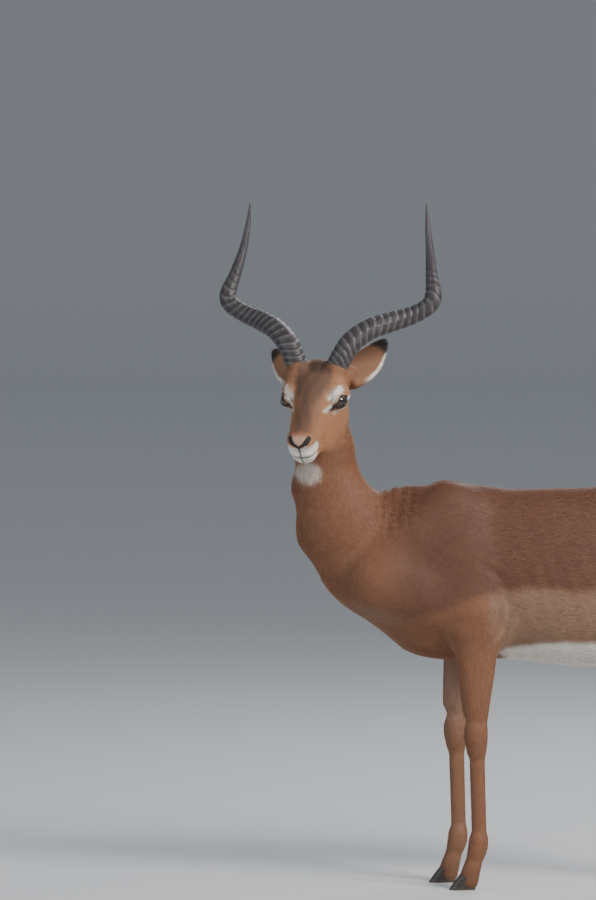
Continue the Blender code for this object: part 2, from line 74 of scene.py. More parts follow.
def add_camera():
    lens = bpy.data.cameras.new("camera")
    lens.sensor_width = SENSOR * 1000.0
    lens.lens = SENSOR * 1000.0 * VIEW_DISTANCE / VIEW_HEIGHT
    lens.clip_end = 100.0
    camera = bpy.data.objects.new("camera", lens)
    away = Vector((0.0, -math.cos(VIEW_ELEVATION), math.sin(VIEW_ELEVATION)))
    camera.location = VIEW_MIDDLE + away * VIEW_DISTANCE
    camera.rotation_euler = (math.pi / 2.0 - VIEW_ELEVATION, 0.0, 0.0)
    bpy.context.scene.collection.objects.link(camera)
    bpy.context.scene.camera = camera


def add_soft_box(name, place, aim, size, power, colour):
    lamp = bpy.data.lights.new(name, "AREA")
    lamp.shape = "RECTANGLE"
    lamp.size, lamp.size_y = size
    lamp.energy = power
    lamp.color = colour
    light = bpy.data.objects.new(name, lamp)
    light.location = place
    light.rotation_euler = (place - aim).to_track_quat("Z", "Y").to_euler()
    bpy.context.scene.collection.objects.link(light)


def set_inputs(tree, node, inputs):
    """Gives each input of a node a plain value, or links it to the socket that feeds it."""
    for name, value in inputs.items():
        if isinstance(value, bpy.types.NodeSocket):
            tree.links.new(value, node.inputs[name])
        else:
            node.inputs[name].default_value = value


def add_node(tree, kind, inputs, **settings):
    """A new node with its settings and inputs."""
    node = tree.nodes.new("ShaderNode" + kind)
    for name, value in settings.items():
        setattr(node, name, value)
    set_inputs(tree, node, inputs)
    return node


def mixed(tree, factor, first, second, blend="MIX"):
    """Two colours in one, more of the second as the factor rises."""
    inputs = {"Factor": factor, "A": first, "B": second}
    return add_node(tree, "Mix", inputs, data_type="RGBA", blend_type=blend).outputs["Result"]


def new_material(name, inputs):
    """A material whose shader has these inputs, with its node tree and its shader."""
    material = bpy.data.materials.new(name)
    material.use_nodes = True
    tree = material.node_tree
    shader = tree.nodes["Principled BSDF"]
    set_inputs(tree, shader, inputs)
    return material, tree, shader


PAPER_WIDTH = 90.0
PAPER_FRONT = -30.0
PAPER_BACK = 26.0
PAPER_BEND = 7.0
PAPER_TOP = 16.0
PAPER_DARK = (0.60, 0.605, 0.61, 1.0)
PAPER_LIGHT = (0.63, 0.635, 0.64, 1.0)


def add_paper():
    """The floor and its backdrop, one sheet with a wide round bend."""
    profile = [(PAPER_FRONT, 0.0)]
    for turn in np.linspace(0.0, math.pi / 2.0, 24):
        bend = (math.sin(turn), 1.0 - math.cos(turn))
        profile.append((PAPER_BACK + PAPER_BEND * bend[0], PAPER_BEND * bend[1]))
    profile.append((PAPER_BACK + PAPER_BEND, PAPER_TOP))
    form = bmesh.new()
    edges = (-PAPER_WIDTH / 2, PAPER_WIDTH / 2)
    rows = [[form.verts.new((x, y, z)) for x in edges] for y, z in profile]
    for near, far in zip(rows, rows[1:]):
        form.faces.new((near[0], near[1], far[1], far[0]))
    mesh = bpy.data.meshes.new("paper")
    form.to_mesh(mesh)
    form.free()
    mesh.shade_smooth()
    paper = bpy.data.objects.new("paper", mesh)
    bpy.context.scene.collection.objects.link(paper)
    material, tree, shader = new_material("paper", {"Roughness": 0.85})
    fibres = add_node(tree, "TexNoise", {"Scale": 3.0}).outputs["Fac"]
    set_inputs(tree, shader, {"Base Color": mixed(tree, fibres, PAPER_DARK, PAPER_LIGHT)})
    mesh.materials.append(material)


add_camera()
add_paper()
chest = WITHERS + Vector((0.0, 0.0, 0.8))
# For each soft box: its place from the chest, size, power and colour.
SOFT_BOXES = {
    "key": ((3.3, -3.5, 3.0), (2.2, 2.2), 370.0, (1.0, 0.965, 0.92)),
    "fill": ((-3.8, -2.6, 1.6), (2.6, 2.2), 60.0, (0.90, 0.95, 1.0)),
    "rim": ((1.6, 3.4, 3.2), (2.2, 1.6), 110.0, (0.95, 0.97, 1.0)),
}
for name, (place, size, power, colour) in SOFT_BOXES.items():
    add_soft_box(name, chest + Vector(place), chest, size, power, colour)
sky = bpy.data.worlds.new("sky")
bpy.context.scene.world = sky
sky.use_nodes = True
SKY = {"Color": (0.80, 0.86, 0.95, 1.0), "Strength": 0.38}
set_inputs(sky.node_tree, sky.node_tree.nodes["Background"], SKY)


# ---- The body's form ----------------------------------------------------------------------------
# The animal's outline comes from its muscles and bones: tapering bars with round ends and one
# long barrel, run together with soft seams. Each form also knows which way the hair on it lies.

SIDE = {"left": -1.0, "right": 1.0}
FORE_STEP = {"left": 0.0, "right": -0.042}
HIND_STEP = {"left": 0.035, "right": -0.040}
FAR = 0.5
TINY = 1e-6
GRID_STEP = 0.006
BAR_MARGIN = 2.5 * GRID_STEP


def bar(start, end, start_size, end_size=None, blend=0.02, side=(0.0, 1.0, 0.0), lie=None):
    """A tapering bar with round ends. A size is its half-width along side, then across it."""
    start = np.asarray(start, float)
    end = np.asarray(end, float)
    sizes = np.array([start_size, end_size or start_size], float)
    length = np.linalg.norm(end - start)
    along = (end - start) / length
    across = np.asarray(side, float)
    across = across - along * across.dot(along)
    across /= np.linalg.norm(across)
    axes = np.stack([across, np.cross(along, across), along])

    def distance(points):
        local = (points - start) @ axes.T
        part = np.clip(local[:, 2] / length, 0.0, 1.0)
        size = sizes[0] + part[:, None] * (sizes[1] - sizes[0])
        cap = size.mean(axis=1)
        local[:, 2] -= part * length
        scaled = local / np.column_stack([size, cap])
        near = np.linalg.norm(scaled, axis=1)
        slope = np.linalg.norm(scaled / np.column_stack([size, cap]), axis=1)
        return (near - 1.0) * (near + TINY) / (slope + TINY / cap)

    reach = sizes.max() + blend + BAR_MARGIN
    lie = along if lie is None else np.asarray(lie, float)
    return distance, np.minimum(start, end) - reach, np.maximum(start, end) + reach, blend, lie


def smooth_curve(x, knots, values):
    """A smooth line through the knots, level with its end values outside them."""
    knots = np.asarray(knots, float)
    values = np.asarray(values, float)
    slopes = np.gradient(values, knots)
    x = np.clip(x, knots[0], knots[-1])
    i = np.clip(np.searchsorted(knots, x) - 1, 0, len(knots) - 2)
    width = knots[i + 1] - knots[i]
    t = (x - knots[i]) / width
    rise = values[i + 1] - values[i]
    start_bend = slopes[i] * width - rise
    end_bend = rise - slopes[i + 1] * width
    return values[i] + t * rise + t * (1 - t) * ((1 - t) * start_bend + t * end_bend)


# The barrel from front to back: distance behind the withers, top line, belly line and half width.
BARREL = np.array([
    (-0.240, 0.800, 0.680, 0.035),
    (-0.200, 0.845, 0.635, 0.060),
    (-0.150, 0.880, 0.588, 0.078),
    (-0.100, 0.893, 0.548, 0.088),
    (-0.050, 0.895, 0.517, 0.094),
    (0.000, 0.898, 0.504, 0.098),
    (0.045, 0.898, 0.503, 0.102),
    (0.090, 0.893, 0.507, 0.107),
    (0.136, 0.888, 0.507, 0.112),
    (0.200, 0.889, 0.500, 0.117),
    (0.300, 0.891, 0.491, 0.119),
    (0.380, 0.897, 0.500, 0.111),
    (0.450, 0.899, 0.530, 0.098),
    (0.510, 0.884, 0.580, 0.082),
    (0.555, 0.855, 0.640, 0.064),
    (0.590, 0.815, 0.715, 0.035),
])
BARREL_WIDEST = 0.44
BARREL_SQUARENESS = 2.15
BARREL_LIE = np.array([1.0, 0.0, -0.22])
BARREL_BLEND = 0.03
BARREL_MARGIN = 0.05


def barrel():
    """The rib cage, belly and croup: egg-shaped sections that follow the top and belly lines."""
    stations, tops, bottoms, half_widths = BARREL.T

    def distance(points):
        x = points[:, 0]
        top = smooth_curve(x, stations, tops)
        bottom = smooth_curve(x, stations, bottoms)
        width = smooth_curve(x, stations, half_widths)
        middle = bottom + BARREL_WIDEST * (top - bottom)
        rise = points[:, 2] - middle
        height = np.where(rise > 0, top - middle, middle - bottom)
        beyond = x - np.clip(x, stations[0], stations[-1])
        local = np.column_stack([points[:, 1], rise, beyond])
        size = np.column_stack([width, height, width])
        scaled = np.abs(local / size) + TINY
        near = (scaled ** BARREL_SQUARENESS).sum(axis=1) ** (1.0 / BARREL_SQUARENESS)
        slope = np.linalg.norm(scaled / size, axis=1) / np.linalg.norm(scaled, axis=1)
        return (near - 1.0) / slope

    low = np.array([stations[0], -half_widths.max(), bottoms.min()]) - BARREL_MARGIN
    high = np.array([stations[-1], half_widths.max(), tops.max()]) + BARREL_MARGIN
    return distance, low, high, BARREL_BLEND, BARREL_LIE


def fore_forms(name):
    """One foreleg with its shoulder, from the top of the blade to the coronet."""
    out = SIDE[name]
    step = FORE_STEP[name]
    lean = 0.35 * step
    blade = np.array([0.005, out * 0.045, 0.845])
    shoulder = np.array([-0.158, out * 0.075, 0.684])
    elbow = np.array([0.066 + lean, out * 0.086, 0.605])
    knee = np.array([0.056 + step, out * 0.078, 0.338])
    fetlock = np.array([0.062 + step, out * 0.073, 0.098])
    coronet = np.array([0.040 + step, out * 0.072, 0.020])
    triceps = (np.array([0.010, out * 0.072, 0.780]), elbow + (-0.008, 0, 0.040))
    back = (0.55, 0.0, -0.85)
    return [
        bar(blade, shoulder, (0.030, 0.062), (0.036, 0.060), 0.045, lie=back),
        bar(shoulder, elbow, (0.034, 0.056), (0.028, 0.044), 0.045, lie=back),
        bar(*triceps, (0.026, 0.055), (0.028, 0.052), 0.035, lie=(0.45, 0.0, -0.9)),
        bar(elbow + (0.027, 0, 0.017), elbow + (0.020, 0, -0.020), (0.017, 0.017), None, 0.03),
        bar(elbow, knee, (0.034, 0.050), (0.019, 0.021), 0.035),
        bar(elbow + (-0.030, 0, -0.040), knee + (-0.012, 0, 0.072),
            (0.028, 0.030), (0.014, 0.012), 0.03),
        bar(knee + (0, 0, 0.014), knee + (0.002, 0, -0.020),
            (0.0205, 0.0235), (0.0195, 0.021), 0.015),
        bar(knee, fetlock, (0.0145, 0.0165), (0.0135, 0.0150), 0.02),
        bar(knee + (0.010, 0, -0.038), fetlock + (0.010, 0, 0.022), (0.009, 0.008), None, 0.012),
        bar(fetlock + (0, 0, 0.010), fetlock + (-0.002, 0, -0.010),
            (0.019, 0.0195), (0.019, 0.0185), 0.015),
        bar(fetlock, coronet, (0.0165, 0.0165), (0.0215, 0.0235), 0.015),
    ]


def hind_forms(name):
    """One hind leg, from the hip and buttock to the coronet."""
    out = SIDE[name]
    step = HIND_STEP[name]
    lean = 0.3 * step
    hip = np.array([0.455, out * 0.070, 0.770])
    hip_bone = (np.array([0.404, out * 0.070, 0.838]), np.array([0.470, out * 0.056, 0.832]))
    stifle = np.array([0.385 + lean, out * 0.086, 0.590])
    hock = np.array([0.568 + step, out * 0.078, 0.388])
    heel = hock + (0.030, 0, 0.034)
    fetlock = np.array([0.560 + step, out * 0.074, 0.112])
    coronet = np.array([0.536 + step, out * 0.073, 0.020])
    buttock = np.array([0.560, out * 0.048, 0.775])
    back_thigh = np.array([0.505 + lean, out * 0.070, 0.585])
    gaskin = np.array([0.470 + lean, out * 0.078, 0.530])
    down = (0.45, 0.0, -0.9)
    return [
        bar(hip, stifle, (0.046, 0.092), (0.038, 0.060), 0.04, lie=down),
        bar(buttock, back_thigh, (0.045, 0.058), (0.034, 0.048), 0.04, lie=(0.1, 0.0, -1.0)),
        bar(*hip_bone, (0.022, 0.022), (0.03, 0.03), 0.06, lie=(1.0, 0.0, -0.3)),
        bar(stifle, hock, (0.036, 0.050), (0.019, 0.024), 0.04),
        bar(back_thigh, heel, (0.024, 0.036), (0.010, 0.010), 0.03),
        bar(gaskin, hock + (0.014, 0, 0.037), (0.017, 0.036), (0.010, 0.016), 0.03),
        bar(heel, hock + (0.006, 0, -0.023), (0.0125, 0.012), (0.016, 0.020), 0.015),
        bar(hock + (-0.004, 0, 0.012), hock + (-0.002, 0, -0.036),
            (0.0195, 0.022), (0.0165, 0.019), 0.015),
        bar(hock + (0, 0, -0.018), fetlock, (0.0150, 0.0185), (0.0135, 0.0155), 0.02),
        bar(hock + (0.012, 0, -0.048), fetlock + (0.011, 0, 0.023), (0.009, 0.008), None, 0.012),
        bar(fetlock + (0, 0, 0.010), fetlock + (-0.002, 0, -0.010),
            (0.019, 0.0200), (0.019, 0.019), 0.015),
        bar(fetlock, coronet, (0.0165, 0.0165), (0.0215, 0.0235), 0.015),
    ]


def neck_forms():
    """The neck, from the chest to behind the jaw, and the breast below it."""
    base = (-0.165, 0.0, 0.715)
    lower = (-0.243, 0.0, 0.810)
    middle = (-0.274, 0.0, 0.895)
    upper = (-0.278, -0.008, 0.975)
    poll = (-0.281, -0.032, 1.075)
    breast = ((-0.215, 0.0, 0.690), (-0.070, 0.0, 0.590))
    return [
        bar(base, lower, (0.086, 0.107), (0.070, 0.100), 0.035, lie=(0.55, 0.0, -0.8)),
        bar(lower, middle, (0.070, 0.098), (0.057, 0.074), 0.03, lie=(0.35, 0.0, -0.9)),
        bar(middle, upper, (0.056, 0.074), (0.051, 0.061), 0.03, lie=(0.12, 0.0, -1.0)),
        bar(upper, poll, (0.051, 0.060), (0.046, 0.046), 0.03, lie=(0.1, 0.15, -1.0)),
        bar(*breast, (0.066, 0.050), (0.064, 0.066), 0.045, lie=(0.35, 0.0, -0.9)),
    ]


EYE_MIDDLE = np.array([-0.302, -0.105, 1.092])
HEAD_TURN = math.radians(74.0)
HEAD_NOD = math.radians(35.0)
HEAD_LEAN = math.radians(1.5)
HEAD_AXES = Matrix.Rotation(HEAD_TURN, 3, "Z") @ Matrix.Rotation(-HEAD_NOD, 3, "Y")
HEAD_AXES = HEAD_AXES @ Matrix.Rotation(HEAD_LEAN, 3, "X")
TO_HEAD = np.array(HEAD_AXES) * (-1.0, -1.0, 1.0)


def head_point(forward, left, up):
    """A point of the head, from the middle between the eyes: forward, to its left, and up."""
    return EYE_MIDDLE + TO_HEAD @ np.array([forward, left, up])


def head_local(points):
    """Points as forward, left and up from the middle between the eyes."""
    return (points - EYE_MIDDLE) @ TO_HEAD


def turned(left, back, up):
    """A step in the directions of the turned head, but level."""
    return np.array([
        left * math.sin(HEAD_TURN) + back * math.cos(HEAD_TURN),
        -left * math.cos(HEAD_TURN) + back * math.sin(HEAD_TURN),
        up,
    ])


def head_forms():
    """The skull and its muscles, the muzzle and the lower jaw."""
    backward = -TO_HEAD[:, 0]

    def piece(start, end, start_size, end_size=None, blend=0.02):
        ends = (head_point(*start), head_point(*end))
        return bar(*ends, start_size, end_size, blend, TO_HEAD[:, 1], backward)

    forms = [
        piece((-0.078, 0, -0.006), (-0.020, 0, 0.008), (0.047, 0.045), (0.056, 0.038)),
        piece((-0.055, 0, 0.026), (0.030, 0, 0.010), (0.044, 0.030), (0.036, 0.027)),
        piece((0.020, 0, 0.006), (0.125, 0, -0.008), (0.031, 0.027), (0.022, 0.019)),
        piece((0.020, 0, -0.020), (0.124, 0, -0.025), (0.046, 0.032), (0.0345, 0.026)),
        piece((0.128, 0, -0.010), (0.138, 0, -0.010), (0.031, 0.019), (0.030, 0.020), 0.012),
        piece((0.110, 0, -0.034), (0.136, 0, -0.036), (0.032, 0.016), (0.029, 0.014), 0.012),
        piece((-0.040, 0, -0.078), (0.128, 0, -0.060), (0.044, 0.034), (0.025, 0.0165)),
        piece((-0.085, 0, -0.040), (-0.030, 0, -0.034), (0.036, 0.040), (0.046, 0.038), 0.03),
    ]
    for side in (-1, 1):
        forms += [
            piece((-0.045, side * 0.034, -0.055), (0.062, side * 0.031, -0.063),
                  (0.021, 0.051), (0.018, 0.037)),
            piece((-0.010, side * 0.051, 0.002), (0.000, side * 0.049, 0.002),
                  (0.0165, 0.0225), None, 0.015),
            piece((-0.036, side * 0.050, 0.002), (-0.0215, side * 0.063, 0.001),
                  (0.014, 0.018), (0.0135, 0.0175), 0.018),
            piece((-0.028, side * 0.052, 0.025), (0.006, side * 0.050, 0.025),
                  (0.012, 0.009), None, 0.015),
            piece((-0.046, side * 0.040, 0.032), (-0.050, side * 0.043, 0.040),
                  (0.026, 0.026), None, 0.015),
            piece((-0.085, side * 0.034, -0.010), (-0.103, side * 0.056, -0.010),
                  (0.024, 0.028), (0.020, 0.026)),
        ]
    return forms


def tail_forms():
    """The tail's dock; its long hair fills out the rest."""
    root = (0.575, 0.0, 0.842)
    bend = (0.650, 0.0, 0.803)
    middle = (0.668, 0.0, 0.700)
    tip = (0.668, 0.0, 0.590)
    down = (0.06, 0.0, -1.0)
    return [
        bar(root, bend, (0.021, 0.017), (0.014, 0.010), 0.02),
        bar(bend, middle, (0.013, 0.009), (0.010, 0.007), 0.01, lie=down),
        bar(middle, tip, (0.010, 0.007), (0.006, 0.005), 0.01, lie=down),
    ]


FORMS = [barrel()] + neck_forms() + head_forms() + tail_forms()
for name in SIDE:
    FORMS += fore_forms(name) + hind_forms(name)


def blended(field, distance, blend):
    """Joins a form to the field with a soft seam as wide as blend."""
    overlap = np.clip(blend - np.abs(field - distance), 0.0, None) / blend
    return np.minimum(field, distance) - overlap * overlap * blend / 4.0


def flesh_at(points):
    """The distance of each point from the coat's outer surface, below zero inside it."""
    field = np.full(len(points), FAR)
    for distance, low, high, blend, lie in FORMS:
        near = np.all((points > low) & (points < high), axis=1)
        field[near] = blended(field[near], distance(points[near]), blend)
    return field


def flesh_on_grid(axes):
    """The same field on a grid of points."""
    field = np.full([len(axis) for axis in axes], FAR)
    for distance, low, high, blend, lie in FORMS:
        spans = [slice(*np.searchsorted(axes[i], (low[i], high[i]))) for i in range(3)]
        parts = [axes[i][spans[i]] for i in range(3)]
        block = np.stack(np.meshgrid(*parts, indexing="ij"), axis=-1)
        values = distance(block.reshape(-1, 3)).reshape(block.shape[:3])
        field[tuple(spans)] = blended(field[tuple(spans)], values, blend)
    return field


LIE_FADE = 0.017


def lie_at(points):
    """The way the hair lies, blended from the forms nearest each point."""
    total = np.zeros((len(points), 3))
    for distance, low, high, blend, lie in FORMS:
        near = np.all((points > low) & (points < high), axis=1)
        depth = np.clip(distance(points[near]), -LIE_FADE, 6 * LIE_FADE)
        weight = np.exp(-depth / LIE_FADE)
        total[near] += weight[:, None] * lie / np.linalg.norm(lie)
    return total / np.maximum(np.linalg.norm(total, axis=1), TINY)[:, None]


def smooth_step(low, high, value):
    """Nothing up to low, one beyond high and a soft rise between, or a fall if high is less."""
    t = np.clip((value - low) / (high - low), 0.0, 1.0)
    return t * t * (3.0 - 2.0 * t)


def bump(value, middle, width):
    """A smooth hump, one at the middle and nothing beyond about two widths."""
    return np.exp(-((value - middle) / width) ** 2)


# ---- Lids, nose, mouth and folds ----------------------------------------------------------------
# The skin lies a coat's depth inside the outline. Round the eyes it is drawn over the eyeball as
# two lids, the nostrils and the mouth are cut into it, and it folds at the base of the neck.

BODY_COAT = 0.0030
LEG_COAT = 0.0016
HEAD_COAT = 0.0013
EYE_RADIUS = 0.0185
EYE_PLACE = (0.006, 0.0560, 0.001)
EYE_AXIS = np.array([0.60, 1.0, 0.10])
LID_THICKNESS = 0.0022
LID_REACH = 1.12
LID_RISE = 0.80
LID_FALL = 0.34
LID_SLANT = -0.12
MOUTH_END = 0.100
MOUTH_LEVEL = -0.0465
MOUTH_RISE = 0.007
SKULL_MIDDLE = (0.04, 0.0, -0.02)
HEAD_RADII = (0.12, 0.17)
LEG_TOP = (0.47, 0.56)
NOSE_MIDDLE = (0.12, 0.0, -0.035)
NOSE_RADIUS = 0.075
NOSTRIL_LINE = ((0.1625, 0.0040, -0.0105), (0.1560, 0.0150, -0.0040), (0.1450, 0.0240, 0.0045))


def coat_depth(points):
    """How far the skin lies inside the outline."""
    x, y, z = points.T
    local = head_local(points)
    head = smooth_step(HEAD_RADII[1], HEAD_RADII[0], np.linalg.norm(local - SKULL_MIDDLE, axis=1))
    leg = smooth_step(LEG_TOP[1], LEG_TOP[0], z)
    depth = BODY_COAT + (LEG_COAT - BODY_COAT) * leg
    depth = depth + (HEAD_COAT - depth) * head
    tail = smooth_step(0.615, 0.640, x)
    return depth * (1.0 - tail)


def eye_middle(side):
    """An eye's centre in the head's directions. side is 1 for the left eye and -1 for the right."""
    return np.array(EYE_PLACE) * (1.0, side, 1.0)


def folded(local):
    """Points of the head with its right half laid over its left."""
    return local * (1.0, 0.0, 1.0) + np.abs(local) * (0.0, 1.0, 0.0)


def eye_reach(local):
    """How far points of the head are from the centre of the eye on their own side."""
    return np.linalg.norm(folded(local) - EYE_PLACE, axis=1)


def eye_local(points, side):
    """Points from an eye's centre: outward along its axis, forward along the lids, and up."""
    axis = EYE_AXIS * (1.0, side, 1.0)
    axis = axis / np.linalg.norm(axis)
    up = np.array([0.0, 0.0, 1.0])
    up = up - axis * up.dot(axis)
    up /= np.linalg.norm(up)
    ahead = np.cross(axis, up) * -side
    ahead *= np.sign(ahead[0])
    local = head_local(points) - eye_middle(side)
    return local @ axis, local @ ahead, local @ up


def lid_gap(points, side):
    """Below zero between the two lids, above zero under them."""
    outward, ahead, up = eye_local(points, side)
    across = np.arctan2(ahead, outward)
    height = np.arctan2(up, np.hypot(ahead, outward)) - LID_SLANT * across
    arch = 1.0 - (across / LID_REACH) ** 2
    return np.maximum(height - LID_RISE * arch, -LID_FALL * arch - height) * EYE_RADIUS


def soft_max(a, b, blend):
    """The larger of two distances, with a soft seam as wide as blend."""
    overlap = np.clip(blend - np.abs(a - b), 0.0, None) / blend
    return np.maximum(a, b) + overlap * overlap * blend / 4.0


def soft_min(a, b, blend):
    return -soft_max(-a, -b, blend)


def eye_relief(points, field, opened=True):
    """Draws the skin over each eyeball and opens the lids."""
    for side in (-1.0, 1.0):
        centre = head_point(*eye_middle(side))
        near = np.linalg.norm(points - centre, axis=1) < 0.045
        if not near.any():
            continue
        there = points[near]
        outward, ahead, up = eye_local(there, side)
        reach = np.linalg.norm(there - centre, axis=1)
        lids = soft_min(field[near], reach - EYE_RADIUS - LID_THICKNESS, 0.006)
        if not opened:
            field[near] = lids
            continue
        crease = np.hypot(ahead / 1.25, up - 0.001)
        lids = lids + 0.0012 * bump(crease, 0.0175, 0.0020) * smooth_step(0.002, 0.008, up)
        gap = np.where(outward > 0.001, lid_gap(there, side), 0.02)
        hollow = np.maximum(gap, EYE_RADIUS - 0.0006 - reach)
        field[near] = soft_max(lids, -hollow, 0.0012)
    return field


def capsule(points, start, end, radius=0.0):
    """How far points are from a round-ended stroke between two places."""
    start, end = np.asarray(start), np.asarray(end)
    along = end - start
    part = np.clip((points - start) @ along / along.dot(along), 0.0, 1.0)
    return np.linalg.norm(points - start - part[:, None] * along, axis=1) - radius


def nostril_distance(mirrored):
    """How far points on the front of the nose are from the comma of the nostril."""
    inner, bend, outer = NOSTRIL_LINE
    return np.minimum(capsule(mirrored, inner, bend), capsule(mirrored, bend, outer, 0.0020))


def mouth_height(forward):
    """The line between the lips, level at the front and rising to its corner."""
    return MOUTH_LEVEL + MOUTH_RISE * smooth_step(0.125, MOUTH_END, forward)


def muzzle_relief(points, field):
    """Nostrils, the pad between them, the groove below it and the line of the lips."""
    local = head_local(points)
    near = np.linalg.norm(local - NOSE_MIDDLE, axis=1) < NOSE_RADIUS
    if not near.any():
        return field
    local = local[near]
    forward, left, up = local.T
    there = field[near]
    wide = np.abs(left)
    mirrored = folded(local)
    mouth = mouth_height(forward)
    front = smooth_step(0.120, 0.140, forward)
    wing = capsule(mirrored, (0.1540, 0.0120, 0.0040), (0.1440, 0.0260, 0.0060))
    there = there - 0.0022 * bump(wing, 0.0, 0.0068)
    there = there + 0.0030 * front * bump(nostril_distance(mirrored), 0.0, 0.0036)
    groove = 0.0012 * front * bump(wide, 0.0, 0.0026)
    there = there + groove * smooth_step(-0.012, -0.022, up)
    parting = 0.0018 * bump(up, mouth, 0.0022)
    there = there + parting * smooth_step(MOUTH_END - 0.004, MOUTH_END + 0.012, forward)
    there = there - 0.0014 * bump(up, mouth - 0.006, 0.0042) * front
    pads = 0.0016 * bump(up, mouth + 0.010, 0.006) * bump(wide, 0.017, 0.011)
    field[near] = there - pads * front
    return field


FOLDS_X = (-0.1605, -0.1395, -0.1195, -0.0980)
FOLD_DEPTHS = (0.0026, 0.0034, 0.0027, 0.0014)
FOLD_WIDTH = 0.0042
FOLD_PITCH = 0.0098
RIB_PITCH = 0.038


def body_relief(points):
    """Skin folds at the base of the neck, the triceps' edge, the ribs and the flank's fold."""
    x, y, z = points.T
    fold_height = smooth_step(0.785, 0.835, z) * smooth_step(0.900, 0.872, z)
    slant = x - 0.10 * (z - 0.86)
    total = 0.0
    for place, depth in zip(FOLDS_X, FOLD_DEPTHS):
        ridge = 0.6 * bump(slant, place + FOLD_PITCH, FOLD_WIDTH)
        total = total + depth * (bump(slant, place, FOLD_WIDTH) - ridge)
    total = total * fold_height
    crop = np.sqrt(((x + 0.294) / 0.022) ** 2 + ((z - 0.716) / 0.034) ** 2 + (y / 0.060) ** 2)
    total = total - 0.0042 * np.exp(-crop ** 2)
    arc = np.hypot((x - 0.022) / 0.095, (z - 0.630) / 0.115)
    behind = smooth_step(0.05, 0.085, x) * smooth_step(0.54, 0.58, z) * smooth_step(0.75, 0.70, z)
    total = total + 0.0040 * bump(arc, 1.0, 0.10) * behind
    blade = np.hypot((x + 0.055 + 0.42 * (z - 0.76)) / 0.030, (z - 0.760) / 0.095)
    total = total - 0.0020 * np.exp(-blade ** 2)
    ribs = smooth_step(0.10, 0.16, x) * smooth_step(0.36, 0.28, x)
    ribs = ribs * smooth_step(0.56, 0.62, z) * smooth_step(0.80, 0.72, z)
    total = total + 0.0004 * ribs * np.sin((x + 0.35 * (z - 0.68)) * 2.0 * math.pi / RIB_PITCH)
    flank = bump(x - 0.55 * (z - 0.60), 0.372, 0.020)
    flank = flank * smooth_step(0.52, 0.56, z) * smooth_step(0.74, 0.66, z)
    return total + 0.0045 * flank


def skin_at(points):
    """The distance of each point from the skin, below zero inside it."""
    field = flesh_at(points) + coat_depth(points) + body_relief(points)
    field = muzzle_relief(points, field)
    return eye_relief(points, field)


def plain_skin_at(points):
    """The same distance before the face's openings are cut."""
    field = flesh_at(points) + coat_depth(points) + body_relief(points)
    return eye_relief(points, field, opened=False)


def settle(points, surface, rounds=3, nudge=0.0002, cap=0.0025):
    """Moves points near a surface onto it."""
    for _ in range(rounds):
        slope = np.column_stack(
            [surface(points + offset) - surface(points - offset) for offset in nudge * np.eye(3)]
        ) / (2.0 * nudge)
        steep = np.maximum((slope * slope).sum(axis=1), 0.25)
        move = slope * (surface(points) / steep)[:, None]
        size = np.linalg.norm(move, axis=1)
        points = points - move * np.minimum(1.0, cap / np.maximum(size, TINY))[:, None]
    return points


def finer(form, inside):
    """Splits the faces whose middles are inside a region."""
    faces = list(form.faces)
    middles = np.array([face.calc_center_median() for face in faces])
    chosen = inside(middles)
    edges = {edge for face, take in zip(faces, chosen) if take for edge in face.edges}
    bmesh.ops.subdivide_edges(form, edges=list(edges), cuts=1, use_grid_fill=True)


def move_verts(form, surface, rounds, region=None):
    """Settles a mesh's points on a surface, all of them or those in a region."""
    verts = list(form.verts)
    points = np.array([vert.co for vert in verts])
    near = np.ones(len(points), bool) if region is None else region(points)
    points[near] = settle(points[near], surface, rounds)
    for vert, place, moved in zip(verts, points, near):
        if moved:
            vert.co = place


def near_head(points):
    """The whole head, without the ears."""
    local = (head_local(points) - (0.035, 0.0, -0.020)) / (0.155, 0.095, 0.105)
    return np.linalg.norm(local, axis=1) < 1.0


def near_face(points):
    """The muzzle and the surrounds of the eyes."""
    local = head_local(points)
    return near_head(points) & ((local[:, 0] > 0.108) | (eye_reach(local) < 0.0285))


def near_lips(points, start, height):
    """The line of the mouth from start forward, to a height above and below it."""
    forward, left, up = head_local(points).T
    close = np.abs(up - mouth_height(forward)) < height
    return near_head(points) & (forward > start) & close


def near_lids(points):
    """The lips, the nostrils and the lids."""
    local = head_local(points)
    nostril = np.linalg.norm(folded(local) - (0.156, 0.013, -0.007), axis=1) < 0.016
    return near_lips(points, 0.098, 0.0030) | nostril | (eye_reach(local) < 0.0231)


def near_rims(points):
    """The edges of the lids, the nostrils and the lips."""
    local = head_local(points)
    rims = (nostril_distance(folded(local)) < 0.0042) & (local[:, 0] > 0.135) & near_head(points)
    rims |= near_lips(points, 0.106, 0.0020)
    for side in (-1.0, 1.0):
        near = np.linalg.norm(local - eye_middle(side), axis=1) < EYE_RADIUS + 0.006
        rims |= near & (np.abs(lid_gap(points, side)) < 0.0014)
    return rims


FIRST_LEVEL = -0.002


